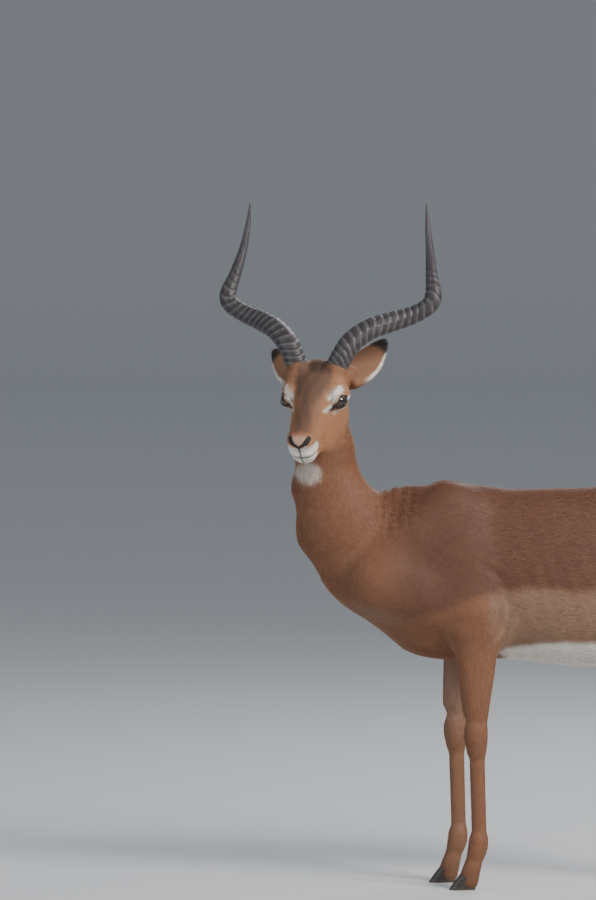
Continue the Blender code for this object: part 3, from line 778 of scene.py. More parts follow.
def skin_form():
    """The skin of the whole body as one closed mesh, finer on the head and finest at the lids."""
    low = np.min([form[1] for form in FORMS], axis=0)
    high = np.max([form[2] for form in FORMS], axis=0)
    axes = [np.arange(low[i], high[i], GRID_STEP) for i in range(3)]
    field = flesh_on_grid(axes)
    level = openvdb.FloatGrid(FAR)
    level.copyFromArray(field)
    points, quads = level.convertToQuads(isovalue=FIRST_LEVEL)
    points = points * GRID_STEP + low
    mesh = bpy.data.meshes.new("skin")
    mesh.from_pydata(points.tolist(), [], quads.tolist())
    form = bmesh.new()
    form.from_mesh(mesh)
    bpy.data.meshes.remove(mesh)
    move_verts(form, plain_skin_at, 4)
    for region in (near_head, near_face, near_lids):
        finer(form, region)
        move_verts(form, plain_skin_at, 2, near_head)
    move_verts(form, skin_at, 4, near_face)
    finer(form, near_rims)
    move_verts(form, skin_at, 5, near_face)
    return form


# ---- Ears ---------------------------------------------------------------------------------------
# Two thin leaves of gristle under skin, rolled at the root and open in front, with three low
# ridges inside. They grow out of the skull, so they are joined to the skin.

EAR_REACH = {"left": (0.060, 0.113, 0.089), "right": (0.098, 0.103, 0.061)}
EAR_LENGTH = 0.158
EAR_HALF_WIDTH = 0.039
EAR_ROOT_DEPTH = 0.017
EAR_THICKNESS = 0.0022
EAR_INSET = 0.0012
EAR_BEND = 0.006
EAR_STATIONS = 34
EAR_SIDES = 20


def ear_frame(name):
    """An ear's root and its three directions: along, towards its opening, and across."""
    side = -SIDE[name]
    outward, back, up = EAR_REACH[name]
    root = head_point(-0.090, side * 0.048, -0.021)
    along = turned(side * outward, back, up)
    along /= np.linalg.norm(along)
    opening = turned(-side * 0.30, 0.60, -0.70)
    opening -= along * opening.dot(along)
    opening /= np.linalg.norm(opening)
    return root, along, opening, np.cross(opening, along)


def ear_leaf(part):
    """How wide the leaf is at a part of its length, as a share of its widest, before the tip."""
    return 0.64 + 0.36 * np.sin(math.pi * np.minimum(part / 0.9, 1.0) ** 0.85)


def ear_point(name, part, turn):
    """A point of an ear's surface: part of its length, then round from one edge over the back."""
    root, along, opening, across = ear_frame(name)
    width = EAR_HALF_WIDTH * ear_leaf(part) * np.sqrt(1.0 - part ** 3.2) + 0.0015 - EAR_INSET * 0.7
    depth = EAR_ROOT_DEPTH * (1.0 - part) + 0.0035 - EAR_INSET * 0.7
    hollow = np.clip((part - 0.16) / 0.18, 0.0, 1.0)
    inner = depth * (1.0 - 2.0 * hollow) + hollow * EAR_THICKNESS
    ridge = 0.0008 * hollow * np.cos(turn * 7.0) * np.sin(math.pi * part)
    behind = turn < math.pi
    wide = np.where(behind, width, 0.95 * width) * np.cos(turn)
    lift = np.where(behind, depth, inner - ridge) * -np.sin(turn)
    middle = root + along * (part * EAR_LENGTH)[..., None]
    middle = middle + opening * (EAR_BEND * np.sin(math.pi * part))[..., None]
    return middle + across * wide[..., None] + opening * lift[..., None]


def add_rings(form, rings):
    """Faces round a tube, from each ring of points to the next."""
    for low, high in zip(rings, rings[1:]):
        for i in range(len(low)):
            j = (i + 1) % len(low)
            form.faces.new((low[i], low[j], high[j], high[i]))


def ear_form(name):
    """One ear as a closed shell, its root deep in the head."""
    form = bmesh.new()
    parts = np.linspace(0.0, 0.985, EAR_STATIONS)
    turns = np.linspace(0.0, 2.0 * math.pi, 2 * EAR_SIDES, endpoint=False)
    rings = []
    for part in parts:
        ring = ear_point(name, np.full(len(turns), part), turns)
        rings.append([form.verts.new(place) for place in ring])
    add_rings(form, rings)
    form.faces.new(rings[0][::-1])
    form.faces.new(rings[-1])
    bmesh.ops.recalc_face_normals(form, faces=form.faces)
    bmesh.ops.triangulate(form, faces=form.faces)
    if form.calc_volume(signed=True) < 0.0:
        bmesh.ops.reverse_faces(form, faces=form.faces)
    return form


def made_object(name, form):
    """Puts a form built from the withers into the scene."""
    mesh = bpy.data.meshes.new(name)
    form.to_mesh(mesh)
    form.free()
    mesh.transform(Matrix.Translation(WITHERS))
    mesh.shade_smooth()
    thing = bpy.data.objects.new(name, mesh)
    bpy.context.scene.collection.objects.link(thing)
    return thing


def joined(body, others):
    """The body and the others as one closed skin."""
    for other in others:
        union = body.modifiers.new("join", "BOOLEAN")
        union.operation = "UNION"
        union.solver = "MANIFOLD"
        union.object = other
    bpy.context.view_layer.update()
    finished = body.evaluated_get(bpy.context.evaluated_depsgraph_get())
    whole = bpy.data.meshes.new_from_object(finished)
    body.modifiers.clear()
    old = body.data
    body.data = whole
    bpy.data.meshes.remove(old)
    whole.name = body.name
    for other in others:
        mesh = other.data
        bpy.data.objects.remove(other)
        bpy.data.meshes.remove(mesh)
    return body


def soften_ear_roots(mesh):
    """Rounds the seam where each ear leaves the head."""
    form = bmesh.new()
    form.from_mesh(mesh)
    points = np.array([vert.co for vert in form.verts]) - np.array(WITHERS)
    head_distance = np.abs(flesh_at(points) + HEAD_COAT)
    weight = np.zeros(len(points))
    for name in SIDE:
        root, along, opening, across = ear_frame(name)
        reach = (points - root) @ along
        near = np.linalg.norm(points - root - along * 0.03, axis=1) < 0.05
        near &= reach > 0.0
        weight = np.where(near, smooth_step(0.010, 0.003, head_distance), weight)
    seam = [vert for vert, amount in zip(form.verts, weight) if amount > 0.3]
    axes = {"use_axis_x": True, "use_axis_y": True, "use_axis_z": True}
    for _ in range(6):
        bmesh.ops.smooth_vert(form, verts=seam, factor=0.5, **axes)
    form.to_mesh(mesh)
    form.free()


skin = made_object("skin", skin_form())
skin = joined(skin, [made_object("ear_" + name, ear_form(name)) for name in SIDE])
soften_ear_roots(skin.data)
skin.data.shade_smooth()


# ---- Markings -----------------------------------------------------------------------------------
# One set of markings serves the skin and the hair: red-brown saddle, paler flank, white belly,
# lips and eyebrows, and the black of the nose, ear tips, rump stripes, tail and heels.

# The lower edges of the saddle and of the flank: places behind the withers, and heights.
SADDLE_LINE = (
    [-0.30, -0.10, 0.05, 0.12, 0.30, 0.50, 0.60],
    [0.60, 0.60, 0.652, 0.672, 0.668, 0.70, 0.74],
)
BELLY_LINE = (
    [-0.20, -0.05, 0.05, 0.15, 0.30, 0.42, 0.50],
    [0.46, 0.485, 0.515, 0.545, 0.552, 0.56, 0.53],
)
MARKS = ("saddle", "pale", "cheek", "grey", "white", "pink", "black")


def ear_place(points, name):
    """How far along an ear, across it and behind its middle each point is, in the ear's sizes."""
    root, along, opening, across = ear_frame(name)
    reach = (points - root) @ along / EAR_LENGTH
    middle = EAR_BEND * np.sin(math.pi * np.clip(reach, 0.0, 1.0))
    wide = (points - root) @ across / EAR_HALF_WIDTH
    return reach, wide, (points - root) @ opening - middle


def ear_width(reach):
    """Half an ear's width along it, as a share of the widest."""
    part = np.clip(reach, 0.0, 1.0)
    return ear_leaf(part) * np.sqrt(np.maximum(1.02 - part ** 3.2, 0.04))


def on_ear(points, name, flesh):
    """Whether each point is on this ear, clear of the head."""
    reach, wide, behind = ear_place(points, name)
    inside = (reach > 0.03) & (reach < 1.05) & (np.abs(wide) < 1.2) & (np.abs(behind) < 0.03)
    return inside & (flesh > -0.0002)


def body_marks(points, normals):
    """The saddle, flank, belly, legs, rump and tail."""
    x, y, z = points.T
    off_middle = np.abs(y)
    ripple = 0.0025 * np.sin(x * 37.0 + 1.3 * np.sin(z * 29.0))
    ripple = ripple + 0.0012 * np.sin(x * 103.0 + z * 70.0)
    inward = smooth_step(0.0, 0.6, -normals[:, 1] * np.sign(y))
    under = smooth_step(0.45, 0.85, -normals[:, 2])

    over_saddle = z - (np.interp(x, *SADDLE_LINE) + ripple)
    saddle = smooth_step(-0.013, 0.013, over_saddle) * smooth_step(-0.20, -0.06, x)
    over_belly = z - (np.interp(x, *BELLY_LINE) + 0.6 * ripple)
    trunk = smooth_step(-0.12, -0.04, x) * smooth_step(0.44, 0.47, z)
    white = smooth_step(0.007, -0.007, over_belly) * trunk * smooth_step(0.56, 0.50, x)
    thigh = smooth_step(0.36, 0.40, x + 0.25 * (z - 0.5)) * (1.0 - inward)
    on_leg = smooth_step(0.034, 0.046, off_middle) * smooth_step(0.535, 0.505, z)
    foreleg = smooth_step(0.095, 0.070, np.abs(x - 0.03)) * np.maximum(1.0 - inward, on_leg)
    white = white * (1.0 - thigh) * (1.0 - foreleg)
    pale = smooth_step(0.012, -0.016, over_saddle) * smooth_step(0.06, 0.11, x)
    outer_thigh = thigh * smooth_step(0.62, 0.50, z)
    outer_leg = np.maximum(outer_thigh, foreleg * smooth_step(0.60, 0.52, z))
    pale = pale * (1.0 - 0.75 * outer_leg)
    chest = under * smooth_step(-0.05, -0.16, x) * smooth_step(0.75, 0.66, z)
    pale = np.maximum(pale, 0.8 * chest)

    hind = smooth_step(0.20, 0.30, x)
    inner = inward * (0.10 + 0.65 * hind) * smooth_step(0.30, 0.42, z)
    inner = inner * smooth_step(0.60 + 0.10 * hind, 0.52 + 0.10 * hind, z)
    groin = smooth_step(0.052, 0.036, off_middle) * smooth_step(0.38, 0.44, x)
    groin = groin * smooth_step(0.74, 0.68, z)
    white = np.maximum(white, np.maximum(inner, groin))
    pale = np.maximum(pale, inward * (0.25 + 0.6 * hind) * smooth_step(0.40, 0.25, z))
    hoofward = smooth_step(0.060, 0.030, z)

    arch = 0.050 * np.sqrt(np.clip((0.862 - z) / 0.11, 0.0, 1.0))
    rump = smooth_step(0.535, 0.570, x) * smooth_step(0.005, -0.006, off_middle - arch)
    white = np.maximum(white, rump * smooth_step(0.56, 0.62, z))
    stripe = bump(off_middle, arch + 0.008, 0.0060) * smooth_step(0.535, 0.560, x)
    stripe = stripe * smooth_step(0.64, 0.70, z) * smooth_step(0.835, 0.79, z)
    heel = np.hypot((z - 0.182) / 0.042, (off_middle - 0.075) / 0.016)
    heel = smooth_step(1.15, 0.65, heel) * smooth_step(0.50, 0.52, x)
    heel = heel * smooth_step(-0.1, 0.4, normals[:, 0])
    on_tail = smooth_step(0.600, 0.618, x) * smooth_step(0.50, 0.54, z)
    tail_top = smooth_step(0.15, 0.6, normals[:, 0] + 0.6 * normals[:, 2])
    tail_line = on_tail * bump(y, 0.0, 0.0050) * tail_top * smooth_step(0.840, 0.800, z)
    white = np.maximum(white, on_tail * (1.0 - 0.9 * tail_top * smooth_step(0.64, 0.78, z)))
    black = np.maximum.reduce([stripe, heel, tail_line, 0.25 * hoofward])
    return saddle, pale, white, black


def face_marks(points, flesh):
    """The forehead, cheeks, muzzle, chin, bare nose and the patch on the throat, the last greyed by
    painted shade.
    """
    x, y, z = points.T
    local = head_local(points)
    forward, left, up = local.T
    wide = np.abs(left)
    ball = np.linalg.norm((local - (0.030, 0.0, -0.020)) / (0.150, 0.085, 0.095), axis=1)
    head = smooth_step(1.15, 0.95, ball)
    front_line = 0.022 + 0.016 * smooth_step(0.06, -0.02, forward)
    grey = smooth_step(front_line + 0.010, front_line - 0.008, wide)
    grey = grey * smooth_step(-0.016, 0.000, up) * smooth_step(0.150, 0.125, forward) * head
    streak = 0.5 + 0.5 * np.sin(left * 260.0 + 3.0 * np.sin(forward * 38.0))
    grey = grey * (0.72 + 0.28 * streak)
    grey = grey * (1.0 - 0.45 * bump(wide, 0.019, 0.007) * smooth_step(0.02, 0.05, forward))
    cheek = head * (1.0 - grey) * smooth_step(-0.10, -0.02, forward)
    muzzle = smooth_step(0.118, 0.134, forward + 0.25 * (-0.03 - up))
    lips = head * muzzle * smooth_step(-0.010, -0.020, up + 0.10 * (0.150 - forward))
    jaw = smooth_step(-0.060, -0.072, up) * smooth_step(0.098, 0.114, forward) * head
    pink = bump(forward, 0.157, 0.012) * smooth_step(0.022, 0.014, wide)
    pink = pink * smooth_step(-0.020, -0.010, up) * smooth_step(0.012, 0.006, up) * head
    throat = np.linalg.norm((np.column_stack([x, z]) - (-0.316, 0.928)) / (0.031, 0.026), axis=1)
    throat = smooth_step(1.15, 0.75, throat) * smooth_step(0.02, -0.01, y) * (flesh < 0.02)
    # The throat patch is mixed only about half way to white, as painted shade under the chin.
    throat = 0.52 * throat * (1.0 - head * smooth_step(-0.10, -0.06, up))
    return head, grey, cheek, pink, np.maximum.reduce([lips, jaw, throat])


# White strokes beside each eye, seen from in front: out from the middle, and up the slope of
# the face. The dark tear mark runs down from the eye's inner corner.
BROW_STROKES = [
    (0.0600, 0.0270, 0.0),
    (0.0540, 0.0060, 0.0),
    (0.0465, -0.0130, 0.0),
    (0.0370, -0.0250, 0.0),
]
TEAR_STROKE = [(0.0530, -0.0120, 0.0), (0.0428, -0.0235, 0.0)]


def eye_marks(points, white):
    """The white round each eye added to the rest, and the dark rims of the lids."""
    local = head_local(points)
    forward, left, up = local.T
    from_eye = eye_reach(local)
    facing = np.column_stack([np.abs(left), 0.82 * up - 0.57 * forward, 0.0 * up])
    strokes = [capsule(facing, *ends) for ends in zip(BROW_STROKES, BROW_STROKES[1:])]
    strokes = bump(np.minimum.reduce(strokes), 0.0, 0.0040)
    tear = 0.95 * bump(capsule(facing, *TEAR_STROKE), 0.0, 0.0036)
    rim = np.zeros(len(points))
    for side in (-1.0, 1.0):
        outward, ahead, high = eye_local(points, side)
        near = (np.sign(left) == side) & (from_eye < 0.060) & (outward > -0.02)
        angle = np.arctan2(high, ahead)
        over = smooth_step(0.3, 0.8, angle) * smooth_step(2.6, 2.0, angle)
        below = smooth_step(-0.45, -0.85, angle) + smooth_step(3.1, 3.14, angle)
        brow = over * bump(from_eye, 0.0262, 0.0056)
        bag = below * bump(from_eye, 0.0242, 0.0066)
        white = np.where(near, np.maximum.reduce([white, brow, bag, strokes]), white)
        lid = smooth_step(0.0044, 0.0026, np.abs(lid_gap(points, side)))
        lid = lid * smooth_step(0.0255, 0.0235, from_eye)
        rim = np.where(near, np.maximum.reduce([rim, tear, lid]), rim)
    return white, rim


def nose_marks(local):
    """The dark nostrils, the groove below them, the line of the mouth and the crown."""
    forward, left, up = local.T
    wide = np.abs(left)
    mirrored = folded(local)
    mouth = bump(up, mouth_height(forward), 0.0030) * smooth_step(0.098, 0.118, forward)
    comma = smooth_step(0.0052, 0.0036, nostril_distance(mirrored))
    vee = capsule(mirrored, (0.1606, 0.0, -0.0132), (0.1608, 0.0060, -0.0095))
    groove = bump(wide, 0.0, 0.0024 + 0.0020 * smooth_step(-0.032, -0.018, up))
    groove = groove * smooth_step(-0.010, -0.014, up) * smooth_step(0.135, 0.145, forward)
    nose = np.maximum.reduce([comma, smooth_step(0.0042, 0.0024, vee), 0.9 * groove, mouth])
    crown = np.linalg.norm((local - (-0.045, 0.004, 0.055)) / (0.022, 0.022, 0.020), axis=1)
    return np.maximum(nose, 0.55 * smooth_step(1.2, 0.6, crown))


def marks_at(points, normals, flesh):
    """The amount of each marking at each point of the skin."""
    saddle, pale, white, black = body_marks(points, normals)
    head, grey, cheek, pink, face_white = face_marks(points, flesh)
    white, rim = eye_marks(points, np.maximum(white, face_white))
    black = np.maximum.reduce([black, rim, nose_marks(head_local(points)) * head])

    for name in SIDE:
        mine = on_ear(points, name, flesh)
        reach, across, behind = ear_place(points, name)
        back = smooth_step(0.10, -0.25, normals @ ear_frame(name)[2])
        tip = smooth_step(0.74, 0.84, reach + 0.05 * np.abs(across)) * back
        edge = smooth_step(0.82, 0.93, np.abs(across) / ear_width(reach))
        inner = (1.0 - back) * (0.45 + 0.35 * np.cos(across * 9.0)) * smooth_step(0.08, 0.22, reach)
        fringe = edge * smooth_step(0.12, 0.30, reach) * smooth_step(0.92, 0.75, reach)
        black = np.where(mine, np.maximum(tip, 0.7 * smooth_step(0.90, 0.96, reach)), black)
        white = np.where(mine, np.maximum(inner * 0.8, fringe), white)
        cheek = np.where(mine, 0.55 * back, cheek)
        grey = np.where(mine, 0.30 * back + 0.35 * (1.0 - back), grey)
        saddle = np.where(mine, 0.0, saddle)
        pale = np.where(mine, 0.2, pale)
    amounts = (saddle, pale, cheek, grey, white, pink, black)
    return np.clip(np.column_stack(amounts), 0.0, 1.0)


def store_values(mesh, name, values):
    """Keeps one number for each point of a mesh, under a name that its material reads."""
    layer = mesh.attributes.new(name, "FLOAT", "POINT")
    layer.data.foreach_set("value", values.astype(np.float32))


def store_marks(mesh, amounts):
    for name, values in zip(MARKS, amounts.T):
        store_values(mesh, "mark_" + name, values)


def srgb(red, green, blue):
    """A colour given as it looks, from 0 to 255, as linear light."""
    parts = [value / 255.0 for value in (red, green, blue)]
    light = [p / 12.92 if p <= 0.04045 else ((p + 0.055) / 1.055) ** 2.4 for p in parts]
    return tuple(light) + (1.0,)


HIDE_COLOURS = {
    "red": srgb(132, 89, 64),
    "saddle": srgb(103, 68, 51),
    "pale": srgb(138, 107, 86),
    "cheek": srgb(160, 112, 80),
    "grey": srgb(98, 74, 60),
    "white": srgb(226, 220, 210),
    "black": srgb(30, 24, 22),
    "pink": srgb(186, 150, 132),
}


def painted(tree, name):
    """The numbers stored on the mesh under this name."""
    return add_node(tree, "Attribute", {}, attribute_name=name).outputs["Fac"]


def hide_group():
    """The markings mixed into one colour, with soft mottling and each tuft's own brightness: a
    random tone, with painted shade at its root and painted light towards its tip.
    """
    group = bpy.data.node_groups.new("hide colours", "ShaderNodeTree")
    for name in ("Strand shade", "Mottle"):
        group.interface.new_socket(name, in_out="INPUT", socket_type="NodeSocketFloat")
    group.interface.new_socket("Color", in_out="OUTPUT", socket_type="NodeSocketColor")
    entry = group.nodes.new("NodeGroupInput")
    leave = group.nodes.new("NodeGroupOutput")
    colour = HIDE_COLOURS["red"]
    for name in MARKS:
        colour = mixed(group, painted(group, "mark_" + name), colour, HIDE_COLOURS[name])
    place = add_node(group, "TexCoord", {}).outputs["Object"]
    noise = add_node(group, "TexNoise", {"Vector": place, "Scale": 22.0, "Detail": 4.0})
    spread = add_node(group, "Math", {0: noise.outputs["Fac"], 1: 0.5}, operation="SUBTRACT")
    values = {0: spread.outputs[0], 1: entry.outputs["Mottle"], 2: 1.0}
    patch = add_node(group, "Math", values, operation="MULTIPLY_ADD")
    values = {0: patch.outputs[0], 1: entry.outputs["Strand shade"]}
    total = add_node(group, "Math", values, operation="MULTIPLY")
    bright = add_node(group, "HueSaturation", {"Color": colour, "Value": total.outputs[0]})
    group.links.new(bright.outputs["Color"], leave.inputs["Color"])
    return group


def grain_group():
    """Fine uneven grain through a material. Stretch makes it longer or shorter along each axis."""
    group = bpy.data.node_groups.new("grain", "ShaderNodeTree")
    sockets = (("Scale", "Float"), ("Detail", "Float"), ("Stretch", "Vector"))
    for name, kind in sockets:
        group.interface.new_socket(name, in_out="INPUT", socket_type="NodeSocket" + kind)
    group.interface.new_socket("Grain", in_out="OUTPUT", socket_type="NodeSocketFloat")
    entry = group.nodes.new("NodeGroupInput").outputs
    leave = group.nodes.new("NodeGroupOutput")
    place = {0: add_node(group, "TexCoord", {}).outputs["Object"], 1: entry["Stretch"]}
    place = add_node(group, "VectorMath", place, operation="MULTIPLY").outputs["Vector"]
    values = {"Vector": place, "Scale": entry["Scale"], "Detail": entry["Detail"]}
    noise = add_node(group, "TexNoise", values)
    group.links.new(noise.outputs["Fac"], leave.inputs["Grain"])
    return group


HIDE = hide_group()
GRAIN = grain_group()


def add_grain(tree, scale, detail, stretch=(1.0, 1.0, 1.0)):
    node = add_node(tree, "Group", {}, node_tree=GRAIN)
    set_inputs(tree, node, {"Scale": scale, "Detail": detail, "Stretch": stretch})
    return node.outputs["Grain"]


def add_relief(tree, shader, height, depth, strength=1.0):
    """Raises the surface by depth where the height is greatest."""
    inputs = {"Height": height, "Distance": depth, "Strength": strength}
    relief = add_node(tree, "Bump", inputs)
    set_inputs(tree, shader, {"Normal": relief.outputs["Normal"]})


def hide_material(name, roughness, mottle, grain_scale, grain_depth, shaded=False):
    """Skin or hair in the colours of the markings, with a faint velvet sheen. Hair is shaded
    tuft by tuft."""
    material, tree, shader = new_material(name, {
        "Roughness": roughness,
        "Specular IOR Level": 0.35,
        "Sheen Weight": 0.10,
        "Sheen Roughness": 0.5,
        "Sheen Tint": srgb(236, 206, 180),
    })
    shade = painted(tree, "shade") if shaded else 1.0
    colours = add_node(tree, "Group", {}, node_tree=HIDE)
    set_inputs(tree, colours, {"Mottle": mottle, "Strand shade": shade})
    set_inputs(tree, shader, {"Base Color": colours.outputs["Color"]})
    add_relief(tree, shader, add_grain(tree, grain_scale, 3.0), grain_depth)
    return material


def mesh_points(mesh):
    """A mesh's vertices measured from the withers, and their normals."""
    points = np.empty(len(mesh.vertices) * 3)
    mesh.vertices.foreach_get("co", points)
    normals = np.empty(len(mesh.vertices) * 3)
    mesh.vertices.foreach_get("normal", normals)
    return points.reshape(-1, 3) - np.array(WITHERS), normals.reshape(-1, 3)


skin_points, skin_normals = mesh_points(skin.data)
skin_flesh = flesh_at(skin_points)
skin_marks = marks_at(skin_points, skin_normals, skin_flesh)
store_marks(skin.data, skin_marks)
skin.data.materials.clear()
skin.data.materials.append(hide_material("skin", 0.60, 0.18, 420.0, 0.0006))
skin.data.polygons.foreach_set("material_index", np.zeros(len(skin.data.polygons), np.int32))
FLESH_NODES = ["head", "neck", "trunk", "tail", "ear_left", "ear_right"]
for leg in ("foreleg", "hindleg"):
    for length in ("upper", "lower"):
        FLESH_NODES += ["%s_%s_%s" % (leg, length, side) for side in SIDE]
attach(skin, "root")
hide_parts(*FLESH_NODES)


# ---- Coat ---------------------------------------------------------------------------------------
# Short sleek hair that lies along the body, tiny on the face and feet, with fringed ears and a
# long plume on the tail. Each tuft is a closed sliver with its root in the skin: a middle a
# little above it, and a tip.

# The part that each of the body's forms belongs to, in the order of FORMS.
PART_NAMES = ["trunk"]
for name, forms in (("neck", neck_forms()), ("head", head_forms()), ("tail", tail_forms())):
    PART_NAMES += [name] * len(forms)
for name in SIDE:
    PART_NAMES += ["fore"] * len(fore_forms(name)) + ["hind"] * len(hind_forms(name))
PARTS = ["trunk", "neck", "head", "tail", "fore", "hind", "ears"]
PART_INDEX = np.array([PARTS.index(name) for name in PART_NAMES])
HEAD, TAIL, HIND, EARS = (PARTS.index(name) for name in ("head", "tail", "hind", "ears"))
# For each part: tufts on a square metre, length, width, lift of the tip and untidiness.
COAT = {
    "trunk": (125000.0, 0.0145, 0.00125, 0.0010, 0.09),
    "neck": (150000.0, 0.0120, 0.00110, 0.0010, 0.10),
    "head": (440000.0, 0.0056, 0.00070, 0.0006, 0.14),
    "tail": (200000.0, 0.0460, 0.00180, 0.0060, 0.16),
    "fore": (150000.0, 0.0095, 0.00100, 0.0007, 0.08),
    "hind": (125000.0, 0.0110, 0.00110, 0.0008, 0.08),
    "ears": (230000.0, 0.0080, 0.00090, 0.0009, 0.14),
}
ROOT_DEPTH = 0.0004
SOLE_BARE = 0.012
PATCH = 0.003
# A tuft's faces over its root, its middle's left, top and right, and its tip; then the brightness
# of those five points, with painted shade at the buried root and painted light on the top and tip,
# and the bake patch of those five points.
TUFT_FACES = ((0, 1, 2), (0, 2, 3), (0, 3, 1), (4, 2, 1), (4, 3, 2), (4, 1, 3))
TUFT_PAINTED_SHADE = (0.84, 1.0, 1.02, 1.0, 1.12)
TUFT_PATCH = ((-0.5, 0.0), (0.0, -0.45), (0.1, 0.0), (0.0, 0.45), (0.5, 0.0))


def scattered(mesh, random):
    """Roots over the skin with their normals, parts and hair directions."""
    mesh.calc_loop_triangles()
    corners = np.empty(len(mesh.loop_triangles) * 3, np.int32)
    mesh.loop_triangles.foreach_get("vertices", corners)
    corners = corners.reshape(-1, 3)
    a, b, c = (skin_points[corners[:, i]] for i in range(3))
    middles = (a + b + c) / 3.0
    areas = np.linalg.norm(np.cross(b - a, c - a), axis=1) / 2.0
    part, lie = part_and_lie(middles)
    number = areas * np.array([COAT[name][0] for name in PARTS])[part]
    number = number * hairiness(middles, part)
    count = np.floor(number + random.random(len(number))).astype(int)
    chosen = np.repeat(np.arange(len(corners)), count)
    first = np.sqrt(random.random(len(chosen)))
    second = random.random(len(chosen))
    weights = np.column_stack([1.0 - first, first * (1.0 - second), first * second])
    roots, normals, marks = (
        sum(weights[:, i, None] * values[corners[chosen, i]] for i in range(3))
        for values in (skin_points, skin_normals, skin_marks)
    )
    normals /= np.linalg.norm(normals, axis=1)[:, None]
    return roots, normals, marks, part[chosen], lie[chosen]


def part_and_lie(points):
    """The part each point is on, and the way its hair lies."""
    nearest = np.full(len(points), FAR)
    part = np.zeros(len(points), int)
    for index, (distance, low, high, blend, lie) in enumerate(FORMS):
        near = np.nonzero(np.all((points > low) & (points < high), axis=1))[0]
        values = distance(points[near])
        closer = values < nearest[near]
        nearest[near[closer]] = values[closer]
        part[near[closer]] = PART_INDEX[index]
    lie = lie_at(points)
    flesh = flesh_at(points)
    for name in SIDE:
        mine = on_ear(points, name, flesh)
        part[mine] = EARS
        lie[mine] = ear_frame(name)[1]
    return part, lie


def hairiness(points, part):
    """One where hair grows; none on the nostrils, lips, lids and soles."""
    local = head_local(points)
    forward, left, up = local.T
    lips = (np.abs(up - mouth_height(forward)) < 0.0020) & (forward > 0.115)
    groove = (np.abs(left) < 0.0018) & (up < -0.012) & (up > -0.047) & (forward > 0.14)
    bare = (nostril_distance(folded(local)) < 0.0042) | lips | groove
    for side in (-1.0, 1.0):
        near = np.linalg.norm(local - eye_middle(side), axis=1) < 0.0235
        bare |= near & (lid_gap(points, side) < 0.0030)
    bare &= part == HEAD
    return np.where(bare | (points[:, 2] < SOLE_BARE), 0.0, 1.0)


def tuft_mesh(name, roots, normals, marks, lies, lengths, widths, lifts, places, random):
    """Closed slivers as one mesh, with their markings, shades and bake patches."""
    count = len(roots)
    across = np.cross(normals, lies)
    across /= np.linalg.norm(across, axis=1)[:, None]
    thick = widths * 0.35
    middle = roots + lies * (lengths * 0.42)[:, None] + normals * (lifts * 0.55)[:, None]
    points = np.empty((count, 5, 3))
    points[:, 0] = roots - normals * ROOT_DEPTH - lies * (lengths * 0.06)[:, None]
    points[:, 1] = middle - across * (widths / 2.0)[:, None]
    points[:, 2] = middle + normals * thick[:, None]
    points[:, 3] = middle + across * (widths / 2.0)[:, None]
    points[:, 4] = roots + lies * lengths[:, None] + normals * lifts[:, None]
    faces = (np.array(TUFT_FACES)[None] + 5 * np.arange(count)[:, None, None]).reshape(-1, 3)
    mesh = bpy.data.meshes.new(name)
    mesh.vertices.add(count * 5)
    mesh.vertices.foreach_set("co", (points + np.array(WITHERS)).ravel())
    mesh.loops.add(len(faces) * 3)
    mesh.loops.foreach_set("vertex_index", faces.ravel().astype(np.int32))
    mesh.polygons.add(len(faces))
    mesh.polygons.foreach_set("loop_start", (3 * np.arange(len(faces))).astype(np.int32))
    mesh.update(calc_edges=True)
    store_marks(mesh, np.repeat(marks, 5, axis=0))
    shade = np.clip(1.0 + 0.13 * random.standard_normal(count), 0.62, 1.4)[:, None]
    # Each tuft's random tone times its painted shade, darkest at the buried root and lightest on
    # the top and tip.
    store_values(mesh, "shade", (shade * TUFT_PAINTED_SHADE).ravel())
    patch = np.array(TUFT_PATCH) * PATCH
    flat = (places[:, None] + patch[None]).reshape(-1, 2)[faces.ravel()]
    mesh.uv_layers.new(name="OFBake").data.foreach_set("uv", flat.ravel().astype(np.float32))
    lean = 0.55 * across
    sides = np.stack([normals, normals - lean, normals, normals + lean, normals], axis=1)
    sides /= np.linalg.norm(sides, axis=2)[:, :, None]
    mesh.shade_smooth()
    mesh.normals_split_custom_set_from_vertices(sides.reshape(-1, 3).tolist())
    return mesh


def unwrapped(points, part):
    """Each root's place on its own part rolled out flat: along the part, then round it."""
    x, y, z = points.T
    local = head_local(points)
    leg_x = np.where(
        part == HIND,
        np.interp(z, [0.02, 0.11, 0.39, 0.59, 0.77], [0.536, 0.560, 0.568, 0.420, 0.455]),
        np.interp(z, [0.02, 0.10, 0.34, 0.60, 0.80], [0.040, 0.062, 0.056, 0.020, -0.06]),
    )
    neck_x = np.interp(z, [0.60, 0.72, 0.81, 0.90, 1.08], [-0.12, -0.165, -0.243, -0.274, -0.281])
    rolls = {
        "trunk": (x, np.arctan2(y, z - 0.70)),
        "neck": (z, np.arctan2(y, x - neck_x)),
        "head": (local[:, 0], np.arctan2(local[:, 1], local[:, 2] + 0.03)),
        "tail": (z, np.arctan2(y, x - 0.655)),
        "fore": (z, np.arctan2(x - leg_x, (np.abs(y) - 0.078) * np.sign(y))),
        "hind": (z, np.arctan2(x - leg_x, (np.abs(y) - 0.076) * np.sign(y))),
    }
    along = np.zeros(len(points))
    round_it = np.zeros(len(points))
    for index, name in enumerate(PARTS[:-1]):
        mine = part == index
        along[mine] = rolls[name][0][mine]
        round_it[mine] = rolls[name][1][mine]
    for name in SIDE:
        reach, wide, behind = ear_place(points, name)
        mine = (part == EARS) & (np.abs(reach - 0.5) < 0.6) & (np.abs(wide) < 1.3)
        along[mine] = reach[mine] + (1.1 if name == "left" else 0.0)
        round_it[mine] = np.arctan2(behind * 40.0, wide)[mine]
    return np.column_stack([along, round_it])


def to_square(places, margin=0.006):
    """Places spread over the unit square, a little inside its edges."""
    low, high = places.min(axis=0), places.max(axis=0)
    return margin + (places - low) / np.maximum(high - low, TINY) * (1.0 - 2.0 * margin)


